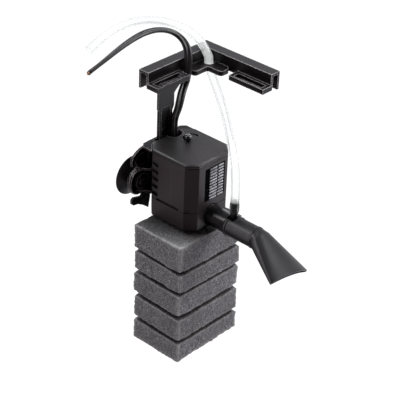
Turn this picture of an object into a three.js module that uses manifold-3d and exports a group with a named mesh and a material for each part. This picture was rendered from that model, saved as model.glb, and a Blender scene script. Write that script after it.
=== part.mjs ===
// Small internal power filter for an aquarium corner.
// A submersible pump head with a foam filter block below it hangs on a strip from an L-shaped
// holder that sits on the rim of the two glass panes. Units are millimetres, +Z is up.
// The origin is where the middle planes of the two panes cross, at the height of the rim.
// The back pane is the plane y = 0, the side pane is the plane x = 0, and the water is at
// x < 0, y < 0. Front is -y and left is -x.
import * as THREE from 'three';
import { mergeVertices } from 'three/addons/utils/BufferGeometryUtils.js';
import Module from 'manifold-3d';

const wasm = await Module();
wasm.setup();

// ---------- dimensions shared by several pieces ----------
const GAP = 0.3;                 // clearance between neighbouring pieces
const GLASS = 5;                 // pane thickness
const GLASS_FACE = -GLASS / 2;   // y of the back pane's wet face

// pump head: its centre in the world, all else in the head's own frame
const HEAD_X = -57.7;
const HEAD_Y = -39.4;
const HALF_W = 21.95;
const HALF_D = 22.7;
const CORNER = 7.15;             // chamfer of the upright corners
const TOP = -45.2;
const CAP_SEAM = -48.2;
const SKIRT_SEAM = -84.4;
const BOTTOM = -100;
const WALL = 2.2;
const WELL_R = 8.3;              // rotor well
const WELL_WALL = 1.1;
const WELL_TOP = -59.2;
const CHAMBER_R = 15.3;          // impeller chamber
const CHAMBER_WALL = 1.7;
const CHAMBER_MID_R = CHAMBER_R + CHAMBER_WALL / 2;
const BORE_R = 1.3;              // bores round the shaft and the flow spindle
const SLIT_Y = [-10.6, 10.9];    // slits on the skirt seam in both sides
const BEYOND = 40;               // reaches past the head on every side

// cable entry and flow lever, in the head's frame
const GLAND_X = 5.4;
const GLAND_Y = 21.3;
const GLAND_R = 6.2;
const GLAND_FLOOR = -56;
const CABLE_Y = 20.6;
const LEVER_X = 9.7;
const LEVER_Y = 8.0;
const LEVER_R = 5.45;            // from the lever's hub to its button
const LEVER_REST = 196;          // degrees

// outlet; its y values are in the world
const TUBE_Z = -91.7;
const TUBE_R = 7.6;
const STUB_Y = -82.9;            // air inlet on the tube
const SWIVEL = 12;               // how far the nozzle is turned about the tube, degrees

// ---------- geometry helpers ----------
const MERGE_TOLERANCE = 1e-4;
const radians = THREE.MathUtils.degToRad;
const mid = ([from, to]) => (from + to) / 2;
const span = ([from, to]) => Math.abs(to - from);
const grow = ([from, to], by) => [from - by, to + by];

// closed solid from a geometry, its faces turned outwards, ready to be cut and joined
function solid(geometry) {
  const bare = new THREE.BufferGeometry();
  bare.setAttribute('position', geometry.attributes.position);
  bare.setIndex(geometry.index);
  const merged = mergeVertices(bare, MERGE_TOLERANCE);
  const index = merged.index.array;
  const positions = merged.attributes.position.array;
  const corner = (vertex) => new THREE.Vector3().fromArray(positions, 3 * vertex);
  const triangles = [];
  let volume = 0;
  for (let i = 0; i < index.length; i += 3) {
    const [a, b, c] = index.slice(i, i + 3);
    if (a === b || b === c || c === a) continue;
    triangles.push(a, b, c);
    volume += corner(a).dot(corner(b).cross(corner(c)));
  }
  if (volume < 0) triangles.reverse();
  return new wasm.Manifold(new wasm.Mesh({
    numProp: 3,
    vertProperties: positions,
    triVerts: new Uint32Array(triangles),
  }));
}
function geometryOf(shape) {
  const mesh = shape.getMesh();
  const geometry = new THREE.BufferGeometry();
  const positions = new Float32Array(mesh.vertProperties);
  geometry.setAttribute('position', new THREE.BufferAttribute(positions, 3));
  geometry.setIndex(new THREE.BufferAttribute(new Uint32Array(mesh.triVerts), 1));
  const flat = geometry.toNonIndexed();
  flat.computeVertexNormals();
  return flat;
}
const join = (...solids) => solids.reduce((a, b) => a.add(b));
const cut = (body, ...tools) => tools.reduce((a, b) => a.subtract(b), body);

// every x, y or z extent below is a pair [from, to]
const box = (x, y, z) =>
  solid(new THREE.BoxGeometry(span(x), span(y), span(z)).translate(mid(x), mid(y), mid(z)));

const vectors = (points) => points.map(([x, y]) => new THREE.Vector2(x, y));
function shapeOf(outline, hole) {
  const shape = new THREE.Shape(vectors(outline));
  if (hole) shape.holes.push(new THREE.Path(vectors(hole)));
  return shape;
}
const extrude = (shape, depth) =>
  new THREE.ExtrudeGeometry(shape, { depth, bevelEnabled: false });
// outline in x,y raised along z
const prismZ = (outline, z, hole) =>
  solid(extrude(shapeOf(outline, hole), span(z)).translate(0, 0, z[0]));
// outline in x,z pushed along y
const prismY = (outline, y) =>
  solid(extrude(shapeOf(outline), span(y)).rotateX(Math.PI / 2).translate(0, y[1], 0));
// outline in y,z pushed along x
const TO_X = new THREE.Matrix4().set(0, 0, 1, 0, 1, 0, 0, 0, 0, 1, 0, 0, 0, 0, 0, 1);
const prismX = (outline, x) =>
  solid(extrude(shapeOf(outline), span(x)).applyMatrix4(TO_X).translate(x[0], 0, 0));
// outline in x,y raised along z, with its top and bottom edges bevelled
const prismBevel = (outline, z, bevel, bevelSegments) =>
  solid(new THREE.ExtrudeGeometry(shapeOf(outline), {
    depth: span(z) - 2 * bevel,
    bevelThickness: bevel,
    bevelSize: bevel,
    bevelOffset: -bevel,
    bevelSegments,
  }).translate(0, 0, z[0] + bevel));

const cylGeometryZ = (radius, z, segments, [x, y] = [0, 0]) =>
  new THREE.CylinderGeometry(radius, radius, span(z), segments)
    .rotateX(Math.PI / 2).translate(x, y, mid(z));
const cylZ = (...args) => solid(cylGeometryZ(...args));
// the radius may change to endRadius at the +y end
const cylY = (radius, y, segments, [x, z] = [0, 0], endRadius = radius) =>
  solid(new THREE.CylinderGeometry(endRadius, radius, span(y), segments)
    .translate(x, mid(y), z));
// profile of [radius, height] turned about y
const lathe = (profile, segments) => new THREE.LatheGeometry(vectors(profile), segments);

// points of a circle or, with its last point included, of an arc; angles in degrees
function circle(radius, segments, cx = 0, cy = 0, from = 0, to = 360) {
  const count = to - from >= 360 ? segments : segments + 1;
  return Array.from({ length: count }, (_, i) => {
    const angle = radians(from + (to - from) * i / segments);
    return [cx + radius * Math.cos(angle), cy + radius * Math.sin(angle)];
  });
}

// solid skinned over rings with equal numbers of points, its two ends closed flat
function skin(rings) {
  const size = rings[0].length;
  const positions = rings.flat(2);
  const index = [];
  for (let i = 0; i + 1 < rings.length; i++) {
    for (let j = 0; j < size; j++) {
      const a = i * size + j;
      const b = i * size + (j + 1) % size;
      index.push(a, b, a + size, b, b + size, a + size);
    }
  }
  for (const [row, flip] of [[0, true], [rings.length - 1, false]]) {
    const centre = [0, 1, 2].map((k) => rings[row].reduce((sum, p) => sum + p[k] / size, 0));
    const hub = positions.length / 3;
    positions.push(...centre);
    for (let j = 0; j < size; j++) {
      const a = row * size + j;
      const b = row * size + (j + 1) % size;
      index.push(hub, ...(flip ? [b, a] : [a, b]));
    }
  }
  const geometry = new THREE.BufferGeometry();
  geometry.setAttribute('position', new THREE.Float32BufferAttribute(positions, 3));
  geometry.setIndex(index);
  return solid(geometry);
}
const smoothPath = (points) =>
  new THREE.CatmullRomCurve3(points.map((p) => new THREE.Vector3(...p)), false, 'centripetal');

// ---------- materials ----------
const plastic = ({ color, roughness }) =>
  new THREE.MeshStandardMaterial({ color, roughness, metalness: 0 });
const metal = ({ color, roughness }) =>
  new THREE.MeshStandardMaterial({ color, roughness, metalness: 0.9 });
const BLACK = 0x2a2729;
const MATERIAL = {
  holder: plastic({ color: BLACK, roughness: 0.45 }),
  bracket: plastic({ color: BLACK, roughness: 0.5 }),
  suctionCup: plastic({ color: 0x302d30, roughness: 0.35 }),
  cap: plastic({ color: 0x48474a, roughness: 0.42 }),
  motorHousing: plastic({ color: 0x3a3436, roughness: 0.48 }),
  frontPlate: plastic({ color: 0x8b8d92, roughness: 0.4 }),
  lowerHousing: plastic({ color: 0x3c3638, roughness: 0.5 }),
  impellerCover: plastic({ color: 0x2f2d2f, roughness: 0.5 }),
  shaft: plastic({ color: 0xe8e6e0, roughness: 0.25 }),
  bush: plastic({ color: 0x252525, roughness: 0.8 }),
  seal: plastic({ color: 0x202020, roughness: 0.7 }),
  magnet: metal({ color: 0x3b3d42, roughness: 0.5 }),
  impeller: plastic({ color: 0xd8d6cf, roughness: 0.4 }),
  core: metal({ color: 0x8a8c90, roughness: 0.45 }),
  bobbin: plastic({ color: 0xd9d5c8, roughness: 0.5 }),
  winding: metal({ color: 0xb06a35, roughness: 0.35 }),
  lever: plastic({ color: 0x232124, roughness: 0.22 }),
  spindle: plastic({ color: 0x2c2a2c, roughness: 0.4 }),
  tube: plastic({ color: 0x333135, roughness: 0.38 }),
  nozzle: plastic({ color: 0x4a4a4f, roughness: 0.33 }),
  strainer: plastic({ color: 0x2c2a2c, roughness: 0.5 }),
  foam: plastic({ color: 0x5c5d60, roughness: 0.95 }),
  grommet: plastic({ color: 0x1f1d1f, roughness: 0.75 }),
  cable: plastic({ color: 0x262426, roughness: 0.45 }),
  hose: plastic({ color: 0xdfe4e4, roughness: 0.2 }),
};

// ---------- corner holder ----------
const CHANNEL_FACE = 9 / 2;      // half the outer width of the channel over the rim
const CHANNEL_SLOT = 5.4 / 2;    // half its inner width
const ARM = 65.5;                // arm length from the origin
const CEILING = 2;               // channel top thickness
const INNER_LEG_Z = -9.2;        // bottoms of the legs
const OUTER_LEG_Z = -12.2;
const LAP = 0.5;                 // overlap of joined parts
const SHELF_Z = [-10.1, -6.2];
const SHELF_FRONT = 14.1;        // distance of the shelf's free edge from the pane plane
const SHELF_X = [-ARM - 0.9, -ARM - 0.9 + 32];
const WING_T = 3.8;
const WING_LEN = 27.6;
const WING_ROUND = 2.6;          // radius of its round ends
const HOSE_HOLE = [-8.3, -10.1];
const HOSE_HOLE_R = 4.3;
const SWAP_XY = new THREE.Matrix4().set(0, 1, 0, 0, 1, 0, 0, 0, 0, 0, 1, 0, 0, 0, 0, 1);

// inverted channel on each pane, shelves and a hose wing on the water side
function cornerHolder() {
  // L-shaped bar between two distances from the middle planes, towards the water positive
  const bar = ([near, far], z) => prismZ([
    [-ARM, -far], [-far, -far], [-far, -ARM], [-near, -ARM], [-near, -near], [-ARM, -near],
  ], z);
  return join(
    bar([-CHANNEL_FACE, CHANNEL_FACE], [0, CEILING]),
    bar([-CHANNEL_FACE, -CHANNEL_SLOT], [OUTER_LEG_Z, LAP]),
    bar([CHANNEL_SLOT, CHANNEL_FACE], [INNER_LEG_Z, LAP]),
    shelf(),
    solid(geometryOf(shelf()).applyMatrix4(SWAP_XY)),
    hoseWing());
}
// shallow trough along the back pane: a slot with a thin floor
function shelf() {
  const [bottom, top] = SHELF_Z;
  return cut(
    box(SHELF_X, [-SHELF_FRONT, -CHANNEL_FACE + LAP], SHELF_Z),
    box(grow(SHELF_X, -3.2), [-SHELF_FRONT + 1.3, -CHANNEL_FACE - 2.6], [bottom + 0.8, top + 1]));
}
// chevron across the inner corner with round ends, holed for the air hose
function hoseWing() {
  const root = -CHANNEL_FACE + 1.3;
  const tip = -WING_LEN + WING_ROUND;
  const edge = -SHELF_FRONT - 0.4;
  // the half beside the side pane; the other half is the same with x and y swapped
  const half = [
    [root, tip],
    ...circle(WING_ROUND, 5, -CHANNEL_FACE - 0.6 - WING_ROUND, tip, 0, -90),
    ...circle(WING_ROUND, 5, edge + WING_ROUND, tip, -90, -180),
    [edge, edge - 1.2],
  ];
  const outline = [[root, root], ...half, ...half.map(([x, y]) => [y, x]).reverse()];
  const top = SHELF_Z[1];
  return cut(prismZ(outline, [top - WING_T, top]), cylZ(HOSE_HOLE_R, [-14, -3], 28, HOSE_HOLE));
}

// ---------- hanger ----------
const HANG_X = -58.6;
const HANG_FRONT = -16.2;
const HANG_BACK = -13.4;
const NECK_HALF = 8.1;           // half widths of the strip
const RAIL_HALF = 6.5;
const RAIL_END = -86;

// T-headed strip hooked on the back pane's shelf
function hanger() {
  const left = HANG_X - RAIL_HALF;
  const right = HANG_X + RAIL_HALF;
  const lowerEnd = [
    [right, RAIL_END + 2], [right - 2, RAIL_END], [left + 2, RAIL_END], [left, RAIL_END + 2],
  ];
  // front plate before the shelf rim, x and z, clockwise seen from the front
  const plate = [
    [-67.4, -5.4], [-34.9, -5.4], [-34.9, -9.3], [-45.2, -9.3],
    [HANG_X + NECK_HALF, -14], [HANG_X + NECK_HALF, -23.5], [right, -27],
    ...lowerEnd,
    [left, -24.5], [HANG_X - NECK_HALF, -22.5], [HANG_X - NECK_HALF, -9.3], [-67.4, -9.3],
  ];
  // dished channel down the front of the rail, deepening from the top; y and z
  const floor = HANG_FRONT + 2;
  const dish = [
    [HANG_FRONT - 1, -22], [HANG_FRONT + 0.02, -22], [HANG_FRONT + 0.4, -26],
    [floor - 0.5, -32], [floor, -37], [floor, -81], [HANG_FRONT + 1.2, -83],
    [HANG_FRONT - 1, -83],
  ];
  let strip = join(
    prismY(plate, [HANG_FRONT, HANG_FRONT + 1.75]),
    prismY([...lowerEnd, [left, -14.5], [right, -14.5]], [HANG_FRONT + 1.5, HANG_BACK]));
  strip = cut(strip, prismX(dish, [left + 2.1, right - 2.1]));
  // two hooks over the rim into the shelf slot
  for (const hookLeft of [-61.2, -43.4]) {
    const hookX = [hookLeft, hookLeft + 4.6];
    strip = join(strip,
      box(hookX, [HANG_FRONT, -11.6], [-5.9, -5.0]),
      box(hookX, [-12.5, -11.6], [-8.1, -5.0]));
  }
  // notches across the back of the rail
  for (let z = -34; z > -80; z -= 6) {
    const notchX = [HANG_X - 2.2, HANG_X + 2.2];
    strip = cut(strip, box(notchX, [HANG_BACK - 0.6, HANG_BACK + 1], [z - 1.4, z]));
  }
  return strip;
}

// ---------- suction bracket and cups ----------
const BRACKET_FRONT = -13.1;
const BRACKET_BACK = -11.3;
const BRACKET_Y = [BRACKET_FRONT, BRACKET_BACK];
const CUP_Z = -75;
const CUP_R = 14.5;
const acrossHead = (x) => 2 * HEAD_X - x;
const CUP_LEFT_X = HEAD_X - 21.9;
const CUP_RIGHT_X = acrossHead(CUP_LEFT_X);

// outlines of the bracket's left side, x and z
const UPPER_ARM = [
  [-70.9, -51.2], [-82.1, -51.6], [-85.9, -56.2], [-84.7, -60.1], [-81.7, -65.3], [-70.9, -66.2],
];
const UPPER_JAW = [
  [-72, -48.2], [-76.5, -48.2], [-81, -49.3], [-85.2, -51.2], [-88.2, -54], [-89.2, -57.6],
  [-88.8, -61], [-86.6, -61.6], [-85.6, -60.4], [-85.6, -57.5], [-83.2, -54.8], [-80, -53.4],
  [-72, -53],
];
const LOWER_JAW = [
  [-70, -83.1], [-76.2, -83.6], [-79.3, -89], [-84, -87.9], [-87, -87.2], [-88.9, -88.5],
  [-89, -91.6], [-87, -93.7], [-82.6, -94.3], [-77.5, -97.1], [-71.6, -101.7], [-70, -93],
];
// plates against the back of the head, x and y
const RIB = [
  [-85.5, BRACKET_FRONT + 0.9], [-78.9, -21.2], [-77.9, -21.7], [-72.6, -16.4],
  [-69.1, -16.0], [-69.1, BRACKET_FRONT + 0.9],
];
const LEDGE = [
  [-80.2, -22.9], [-79.6, -23.3], [-72.6, -16.4], [-68.4, -16.1],
  [-68.4, BRACKET_BACK - 0.2], [-76.6, BRACKET_BACK - 0.2], [-80.2, -14.6],
];
// D-shaped arm round the left cup, moved in by d
const cupArm = (d) => [
  [-70.3, -64.1 - d], [-85.1, -64.1 - d], [-88.6, -65.7 - 0.7 * d],
  [-90.9 + 0.6 * d, -68.6 - 0.4 * d], [-92 + d, -72.2], [-92 + d, -76.2],
  [-90.9 + 0.6 * d, -79.8 + 0.4 * d], [-88.6, -82.7 + 0.7 * d],
  [-85.1, -84.3 + d], [-70.3, -84.3 + d],
];

// clips round the back of the head and carries two cups
function suctionBracket() {
  const through = grow(BRACKET_Y, 1);
  const windowX = [HEAD_X - 6, HEAD_X + 6];
  const mirrored = (outline) => outline.map(([x, other]) => [acrossHead(x), other]);
  const bothSides = (outline, y) => join(prismY(outline, y), prismY(mirrored(outline), y));
  const armRim = [...cupArm(0.02), ...cupArm(1.4).map(([x, z]) => [x + 0.01, z]).reverse()];

  let bracket = cut(
    box([-72.5, acrossHead(-72.5)], BRACKET_Y, [-91, -46.6]),
    box(windowX, through, [-88, -78]),
    box(windowX, through, [-74, -54]));
  bracket = join(bracket,
    bothSides(cupArm(0), BRACKET_Y),
    bothSides(armRim, [BRACKET_FRONT - 2, BRACKET_FRONT + 0.55]),
    bothSides(UPPER_ARM, [BRACKET_FRONT + 0.5, BRACKET_BACK]));
  // ring boss and hole for each cup
  for (const x of [CUP_LEFT_X, CUP_RIGHT_X]) {
    const boss = cut(
      cylY(6.4, [BRACKET_FRONT - 1.6, BRACKET_FRONT + 0.6], 24, [x, CUP_Z]),
      cylY(5.3, [BRACKET_FRONT - 3, BRACKET_FRONT + 1], 24, [x, CUP_Z]));
    const hole = cylY(3.25, [BRACKET_FRONT - 3, BRACKET_BACK + 1], 20, [x, CUP_Z]);
    bracket = cut(join(bracket, boss), hole);
  }
  bracket = join(bracket, bothSides(UPPER_JAW, BRACKET_Y), bothSides(LOWER_JAW, BRACKET_Y));
  // side blocks against the back of the head; the hanger rail runs between them
  const blockX = [-71.2, -68.2];
  for (const [x, rib, ledge] of [
    [blockX, RIB, LEDGE],
    [blockX.map(acrossHead), mirrored(RIB), mirrored(LEDGE)],
  ]) {
    bracket = join(bracket,
      box(x, [-16.3, BRACKET_FRONT + 0.7], [-88.5, -46.9]),
      prismZ(rib, [-64.2, -62.7]),
      prismZ(rib, [-82.4, -80.9]),
      prismZ(ledge, [-48.1, -46.6]));
  }
  return bracket;
}
// face on the glass, groove in the bracket, button in front; about its own y axis
function suctionCup() {
  return solid(lathe([
    [0, GLASS_FACE - 3.1], [8, GLASS_FACE - 2.5], [13.7, GLASS_FACE], [CUP_R, GLASS_FACE],
    [CUP_R, GLASS_FACE - 0.5], [8.4, GLASS_FACE - 4.3], [4.6, GLASS_FACE - 6.2],
    [4.4, BRACKET_BACK + GAP], [2.9, BRACKET_BACK + GAP],
    [2.9, BRACKET_FRONT - GAP], [3.7, BRACKET_FRONT - GAP],
    [3.7, BRACKET_FRONT - 1.6], [2.6, BRACKET_FRONT - 2.6], [0, BRACKET_FRONT - 2.6],
  ], 24));
}

// ---------- pump head shells, in the head's frame ----------
// eight-sided head outline moved in by d, its chamfers kept at 45 degrees
function headOutline(d = 0) {
  const x = HALF_W - d;
  const y = HALF_D - d;
  const c = CORNER - d * (2 - Math.SQRT2);
  return [
    [-x + c, -y], [x - c, -y], [x, -y + c], [x, y - c],
    [x - c, y], [-x + c, y], [-x, y - c], [-x, -y + c],
  ];
}
const ACROSS = [-BEYOND, BEYOND];
const glandCyl = (radius, z) => cylZ(radius, z, 28, [GLAND_X, GLAND_Y]);
// slot outline with round ends about the cable
const cableSlot = (half, radius) => [
  ...circle(radius, 8, GLAND_X + half - radius, CABLE_Y, -90, 90),
  ...circle(radius, 8, GLAND_X - half + radius, CABLE_Y, 90, 270),
];
// round-topped outline about the outlet tube, x and z
const tubeArch = (radius, bottom) =>
  [[-radius, bottom], [radius, bottom], ...circle(radius, 16, 0, TUBE_Z, 0, 180)];
const seamSlit = (side, depth, z) => {
  const face = side * HALF_W;
  return box([face - depth, face + depth], SLIT_Y, z);
};

// bevelled lid with a plug lip, a round cable bay at the back and the curved lever slot
function topCap() {
  const through = [-60, -40];
  const lid = cut(
    prismBevel(headOutline(), [CAP_SEAM - 3, TOP], 1, 1),
    box(ACROSS, ACROSS, [CAP_SEAM - 10, CAP_SEAM]));
  const lip = cut(
    prismZ(headOutline(WALL + GAP), [CAP_SEAM - 2.6, CAP_SEAM + 0.5], headOutline(WALL + 1.6)),
    glandCyl(GLAND_R + 2.2, through));
  const collar = cut(
    glandCyl(GLAND_R + 0.9, [TOP - 0.5, TOP + 0.45]),
    box(ACROSS, [HALF_D, BEYOND], through));
  const slotEdge = (radius) => circle(radius, 24, LEVER_X, LEVER_Y, -22, LEVER_REST + 14);
  const leverSlot = [...slotEdge(LEVER_R + 0.95), ...slotEdge(LEVER_R - 0.95).reverse()];
  return cut(join(lid, lip, collar), glandCyl(GLAND_R, through), prismZ(leverSlot, through));
}

const PLATE_X = [-8.1, 11.6];
const PLATE_Z = [-78.1, -52.1];

// eight-sided shell with a floor, the rotor well standing on it and the cable bay
function motorHousing() {
  const top = CAP_SEAM - GAP;
  let shell = cut(
    prismZ(headOutline(), [SKIRT_SEAM, top]),
    prismZ(headOutline(WALL), [SKIRT_SEAM + WALL, top + 1]));
  shell = join(shell, cylZ(WELL_R + WELL_WALL, [SKIRT_SEAM + 1, WELL_TOP + 1.6], 36));
  shell = cut(shell, cylZ(WELL_R, [SKIRT_SEAM - 1, WELL_TOP], 36));
  const bay = cut(
    glandCyl(GLAND_R + 1.2, [GLAND_FLOOR - 2, top]),
    box(ACROSS, [HALF_D - 0.2, BEYOND], [-60, -40]));
  shell = cut(join(shell, bay),
    glandCyl(GLAND_R, [GLAND_FLOOR, top + 1]),
    prismZ(cableSlot(4.4, 2.8), [GLAND_FLOOR - 4, GLAND_FLOOR + 1]),
    cylZ(BORE_R, [SKIRT_SEAM - 1, SKIRT_SEAM + 4], 20, [LEVER_X, LEVER_Y]),
    // recess for the front plate
    box(grow(PLATE_X, GAP), [-HALF_D - 1, -HALF_D + 1.6], grow(PLATE_Z, GAP)),
    // arch over the outlet
    cylY(TUBE_R + 1.4, [-HALF_D - 2, -HALF_D + 3.2], 28, [0, TUBE_Z]));
  for (const side of [-1, 1]) {
    shell = cut(shell, seamSlit(side, 1.3, [SKIRT_SEAM - 1, SKIRT_SEAM + 1.2]));
    // tilted gills at the rear end of the side face
    for (let k = 0; k < 5; k++) {
      const gill = box([-1.8, 1.8], [-4.5, 4.5], [-1.55, 1.55]).rotate([6, 0, 0]);
      shell = cut(shell, gill.translate([side * (HALF_W + 0.05), 14.5, -56.3 - 5.9 * k]));
    }
  }
  return shell;
}
// grille let into the front of the housing: eleven slats in two columns
function frontPlate() {
  const root = -HALF_D + 0.9;
  const edge = -HALF_D - 0.1;
  let plate = box(PLATE_X, [-HALF_D + 0.75, -HALF_D + 1.3], PLATE_Z);
  for (let k = 0; k < 11; k++) {
    const z = -53.5 - 2.37 * k;
    const slat = [[root, z + 0.75], [root, z - 0.15], [edge, z - 0.75], [edge, z + 0.05]];
    plate = join(plate, prismX(slat, [-3.4, 4.3]), prismX(slat, [5.1, 10.9]));
  }
  return plate;
}
// skirt, impeller chamber ring, floor with the intake opening, notch for the outlet
function lowerHousing() {
  const top = SKIRT_SEAM - GAP;
  const bleedAngle = THREE.MathUtils.radToDeg(Math.atan2(LEVER_Y, LEVER_X));
  let shell = cut(
    prismBevel(headOutline(), [BOTTOM, top + 4], 1.6, 2),
    box(ACROSS, ACROSS, [top, top + 20]),
    prismZ(headOutline(WALL), [BOTTOM + 2, top + 1]));
  shell = join(shell, cylZ(CHAMBER_R + CHAMBER_WALL, [BOTTOM + 1, top - 1.7], 40));
  return cut(shell,
    cylZ(CHAMBER_R, [BOTTOM + 2, top + 1], 40),
    cylZ(9.5, [BOTTOM - 1, BOTTOM + 3], 32),
    prismY(tubeArch(8.6, BOTTOM - 1), [-HALF_D - 1, -HALF_D + 3.2]),
    cylY(5.2, [-HALF_D, -10], 28, [0, TUBE_Z]),
    seamSlit(-1, 1.2, [top - 0.5, top + 1]),
    seamSlit(1, 1.2, [top - 0.5, top + 1]),
    // bleed port beside the flow gate
    box(grow([CHAMBER_MID_R, CHAMBER_MID_R], 3), [-1, 1], [-94, -88])
      .rotate([0, 0, bleedAngle]));
}

// ---------- inside the pump head, in the head's frame ----------
// disc in the chamber floor with spokes and a cup for the lower bush
function impellerCover() {
  const discZ = [-97.7, -96];
  const disc = cut(cylZ(CHAMBER_R - GAP, discZ, 40), cylZ(6.4, [-99, -95], 32));
  return cut(
    join(disc,
      cylZ(3.6, [-98.9, -96], 24),
      box([-7, 7], [-0.9, 0.9], discZ),
      box([-0.9, 0.9], [-7, 7], discZ)),
    cylZ(2.5, [-98.1, -95], 24));
}
const impellerShaft = () => cylGeometryZ(1, [-97.6, -59.9], 20);
const lowerBush = () => cut(cylZ(2.2, [-97.8, -95.2], 20), cylZ(BORE_R, [-99, -95], 20));
const upperBush = () => cut(cylZ(7.9, [-61.4, -59.5], 28), cylZ(BORE_R, [-62, -59], 20));
const chamberSeal = () => new THREE.TorusGeometry(CHAMBER_MID_R, 0.6, 6, 28);
const rotorMagnet = () => cut(cylZ(7.5, [-83.4, -62], 32), cylZ(BORE_R, [-84, -61], 20));

// hub and disc with five blades
function impeller() {
  let wheel = join(cylZ(3.4, [-94.8, -83.7], 24), cylZ(10.2, [-87.4, -86.2], 32));
  for (let k = 0; k < 5; k++) {
    const blade = box([1.5, 10.6], [-0.5, 0.5], [-94.4, -86.6]);
    wheel = join(wheel, blade.rotate([0, 0, k * 72]));
  }
  return cut(wheel, cylZ(BORE_R, [-96, -83], 20));
}
// U-shaped core gripping the well
function statorCore() {
  const right = [
    [14, -17.6], [14, 6], [7.9, 6],
    ...circle(WELL_R + WELL_WALL + 0.35, 14, 0, 0, 36, -40),
    [7.8, -8.2], [7.8, -13.4],
  ];
  return prismZ([...right, ...right.map(([x, y]) => [-x, y]).reverse()], [-78, -66]);
}
// sleeve on the core's bridge with a flange at each end
function coilBobbin() {
  const flangeY = [-20.1, -10.8];
  const flangeZ = [-81.4, -62.6];
  return cut(
    join(
      box([-7.4, 7.4], [-18.6, -12.4], [-79, -65]),
      box([-7.4, -6.7], flangeY, flangeZ),
      box([6.7, 7.4], flangeY, flangeZ)),
    box([-9, 9], [-17.9, -13.1], [-78.3, -65.7]));
}
const coilWinding = () => cut(
  box([-6.4, 6.4], [-20.1, -10.8], [-81.2, -62.8]),
  box([-9, 9], [-18.9, -12.1], [-79.3, -64.7]));

// profile of the lever's button, [radius, z]
const BUTTON = [
  [0, -49.9], [0.85, -49.9], [0.75, -48.4], [0.75, -44.8], [1.9, -44.6], [2.3, -43.9],
  [2.85, -42.9], [2.9, -42.3], [2.6, -41.3], [1.8, -40.5], [0.8, -40.15], [0, -40.1],
];
// button standing in the curved slot, arm and hub under the cap; about its own hub
function flowLever() {
  const rest = radians(LEVER_REST);
  const button = solid(lathe(BUTTON, 28).rotateX(Math.PI / 2))
    .translate([LEVER_R * Math.cos(rest), LEVER_R * Math.sin(rest), 0]);
  const hub = cylZ(2.5, [-52.2, -48.7], 24);
  const arm = box([0, LEVER_R], [-0.9, 0.9], [-50.4, -48.9]).rotate([0, 0, LEVER_REST]);
  return cut(join(button, hub, arm), cylZ(BORE_R, [-53, -49.6], 16));
}
// spindle down to a half-round gate beside the bleed port; about its own axis
function flowSpindle() {
  const gate = cut(cylZ(1.45, [-95.4, -85.4], 24), box([-3, 3], [0.2, 3], [-96, -86.2]));
  return join(cylZ(1, [-86, -50], 16), gate);
}

// ---------- outlet ----------
const SPIGOT_R = 5.8;
const SPIGOT_END = -100;
const TUBE_STEP = -79.3;         // y where the tube steps down to its spigot
const TUBE_BORE = 4.6;
const NOZZLE_SEAL_Y = -91.4;

// root pad in the notch, tube, stepped spigot and the air inlet stub; in the head's frame
function outletTube() {
  const fromHead = (y) => y - HEAD_Y;
  const stub = [0, fromHead(STUB_Y)];
  const along = (radius, y, segments = 28, endRadius = radius) =>
    cylY(radius, y.map(fromHead), segments, [0, TUBE_Z], endRadius);
  const tube = join(
    prismY(tubeArch(8.3, BOTTOM + 0.2), [-62.1, -59.3].map(fromHead)),
    along(6.3, [-59.5, -56.9]),
    along(TUBE_R, [TUBE_STEP, -62]),
    along(TUBE_R, [-64.6, -62], 28, 8.2),
    along(SPIGOT_R, [SPIGOT_END, TUBE_STEP + 1]));
  const sealGroove = cut(along(SPIGOT_R + 1, [-92.2, -90.6]), along(5.2, [-93, -90]));
  return cut(
    join(cut(tube, sealGroove),
      cylZ(2.7, [TUBE_Z + 5, -80.3], 24, stub),
      cylZ(2.15, [-80.6, -73], 20, stub)),
    along(TUBE_BORE, [SPIGOT_END - 1, -56], 24),
    cylZ(1.2, [TUBE_Z, -72], 16, stub));
}
const nozzleSeal = () => new THREE.TorusGeometry(5.66, 0.38, 6, 28).rotateX(Math.PI / 2);

const SLEEVE_R = 7.95;
const SLEEVE_BORE = 6.15;
const MOUTH_W = 41.0;
const MOUTH_H = 3.4;
const LEAN = 3.1;                // the mouth sits a little to one side of the tube
const MOUTH_TILT = 27;           // degrees
const FAN_START = -104.6;        // y of the first station
const RING_POINTS = 28;
// stations along the fan: fraction of its length, fraction of the full tilt
const FAN_STATIONS = [[0, 0], [0.1, 0.2], [0.22, 0.55], [0.38, 0.85], [0.65, 1], [1, 1]];

// point of a rounded rectangle: a power of a cosine or sine with its sign kept
const signedPower = (value, power) => Math.sign(value) * Math.pow(Math.abs(value), power);
// rings of the fan moved in by inset; stretch lengthens the fan
function fanRings(inset, stretch) {
  return FAN_STATIONS.map(([fraction, bend]) => {
    const t = fraction * stretch;
    const centreY = FAN_START - 31.6 * t;
    const centreZ = t < 0.1 ? -3.5 * t : -0.35 - 15.6 * (t - 0.1) / 0.9;
    const tilt = radians(MOUTH_TILT) * bend;
    const halfW = SLEEVE_R + (MOUTH_W / 2 - SLEEVE_R) * Math.pow(t, 0.92) - inset;
    const halfH = SLEEVE_R + (MOUTH_H / 2 - SLEEVE_R) * Math.pow(t, 0.62) - inset;
    const power = 2 / (2 + 2.6 * t);        // from round to nearly rectangular
    return Array.from({ length: RING_POINTS }, (_, j) => {
      const angle = (2 * Math.PI * j) / RING_POINTS;
      const x = halfW * signedPower(Math.cos(angle), power);
      const crown = 3.8 * t * (1 - (x / halfW) ** 2) - 1.5 * t;
      const v = halfH * signedPower(Math.sin(angle), power) + crown;
      return [x + LEAN * t, centreY - v * Math.sin(tilt), centreZ + v * Math.cos(tilt)];
    });
  });
}
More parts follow.
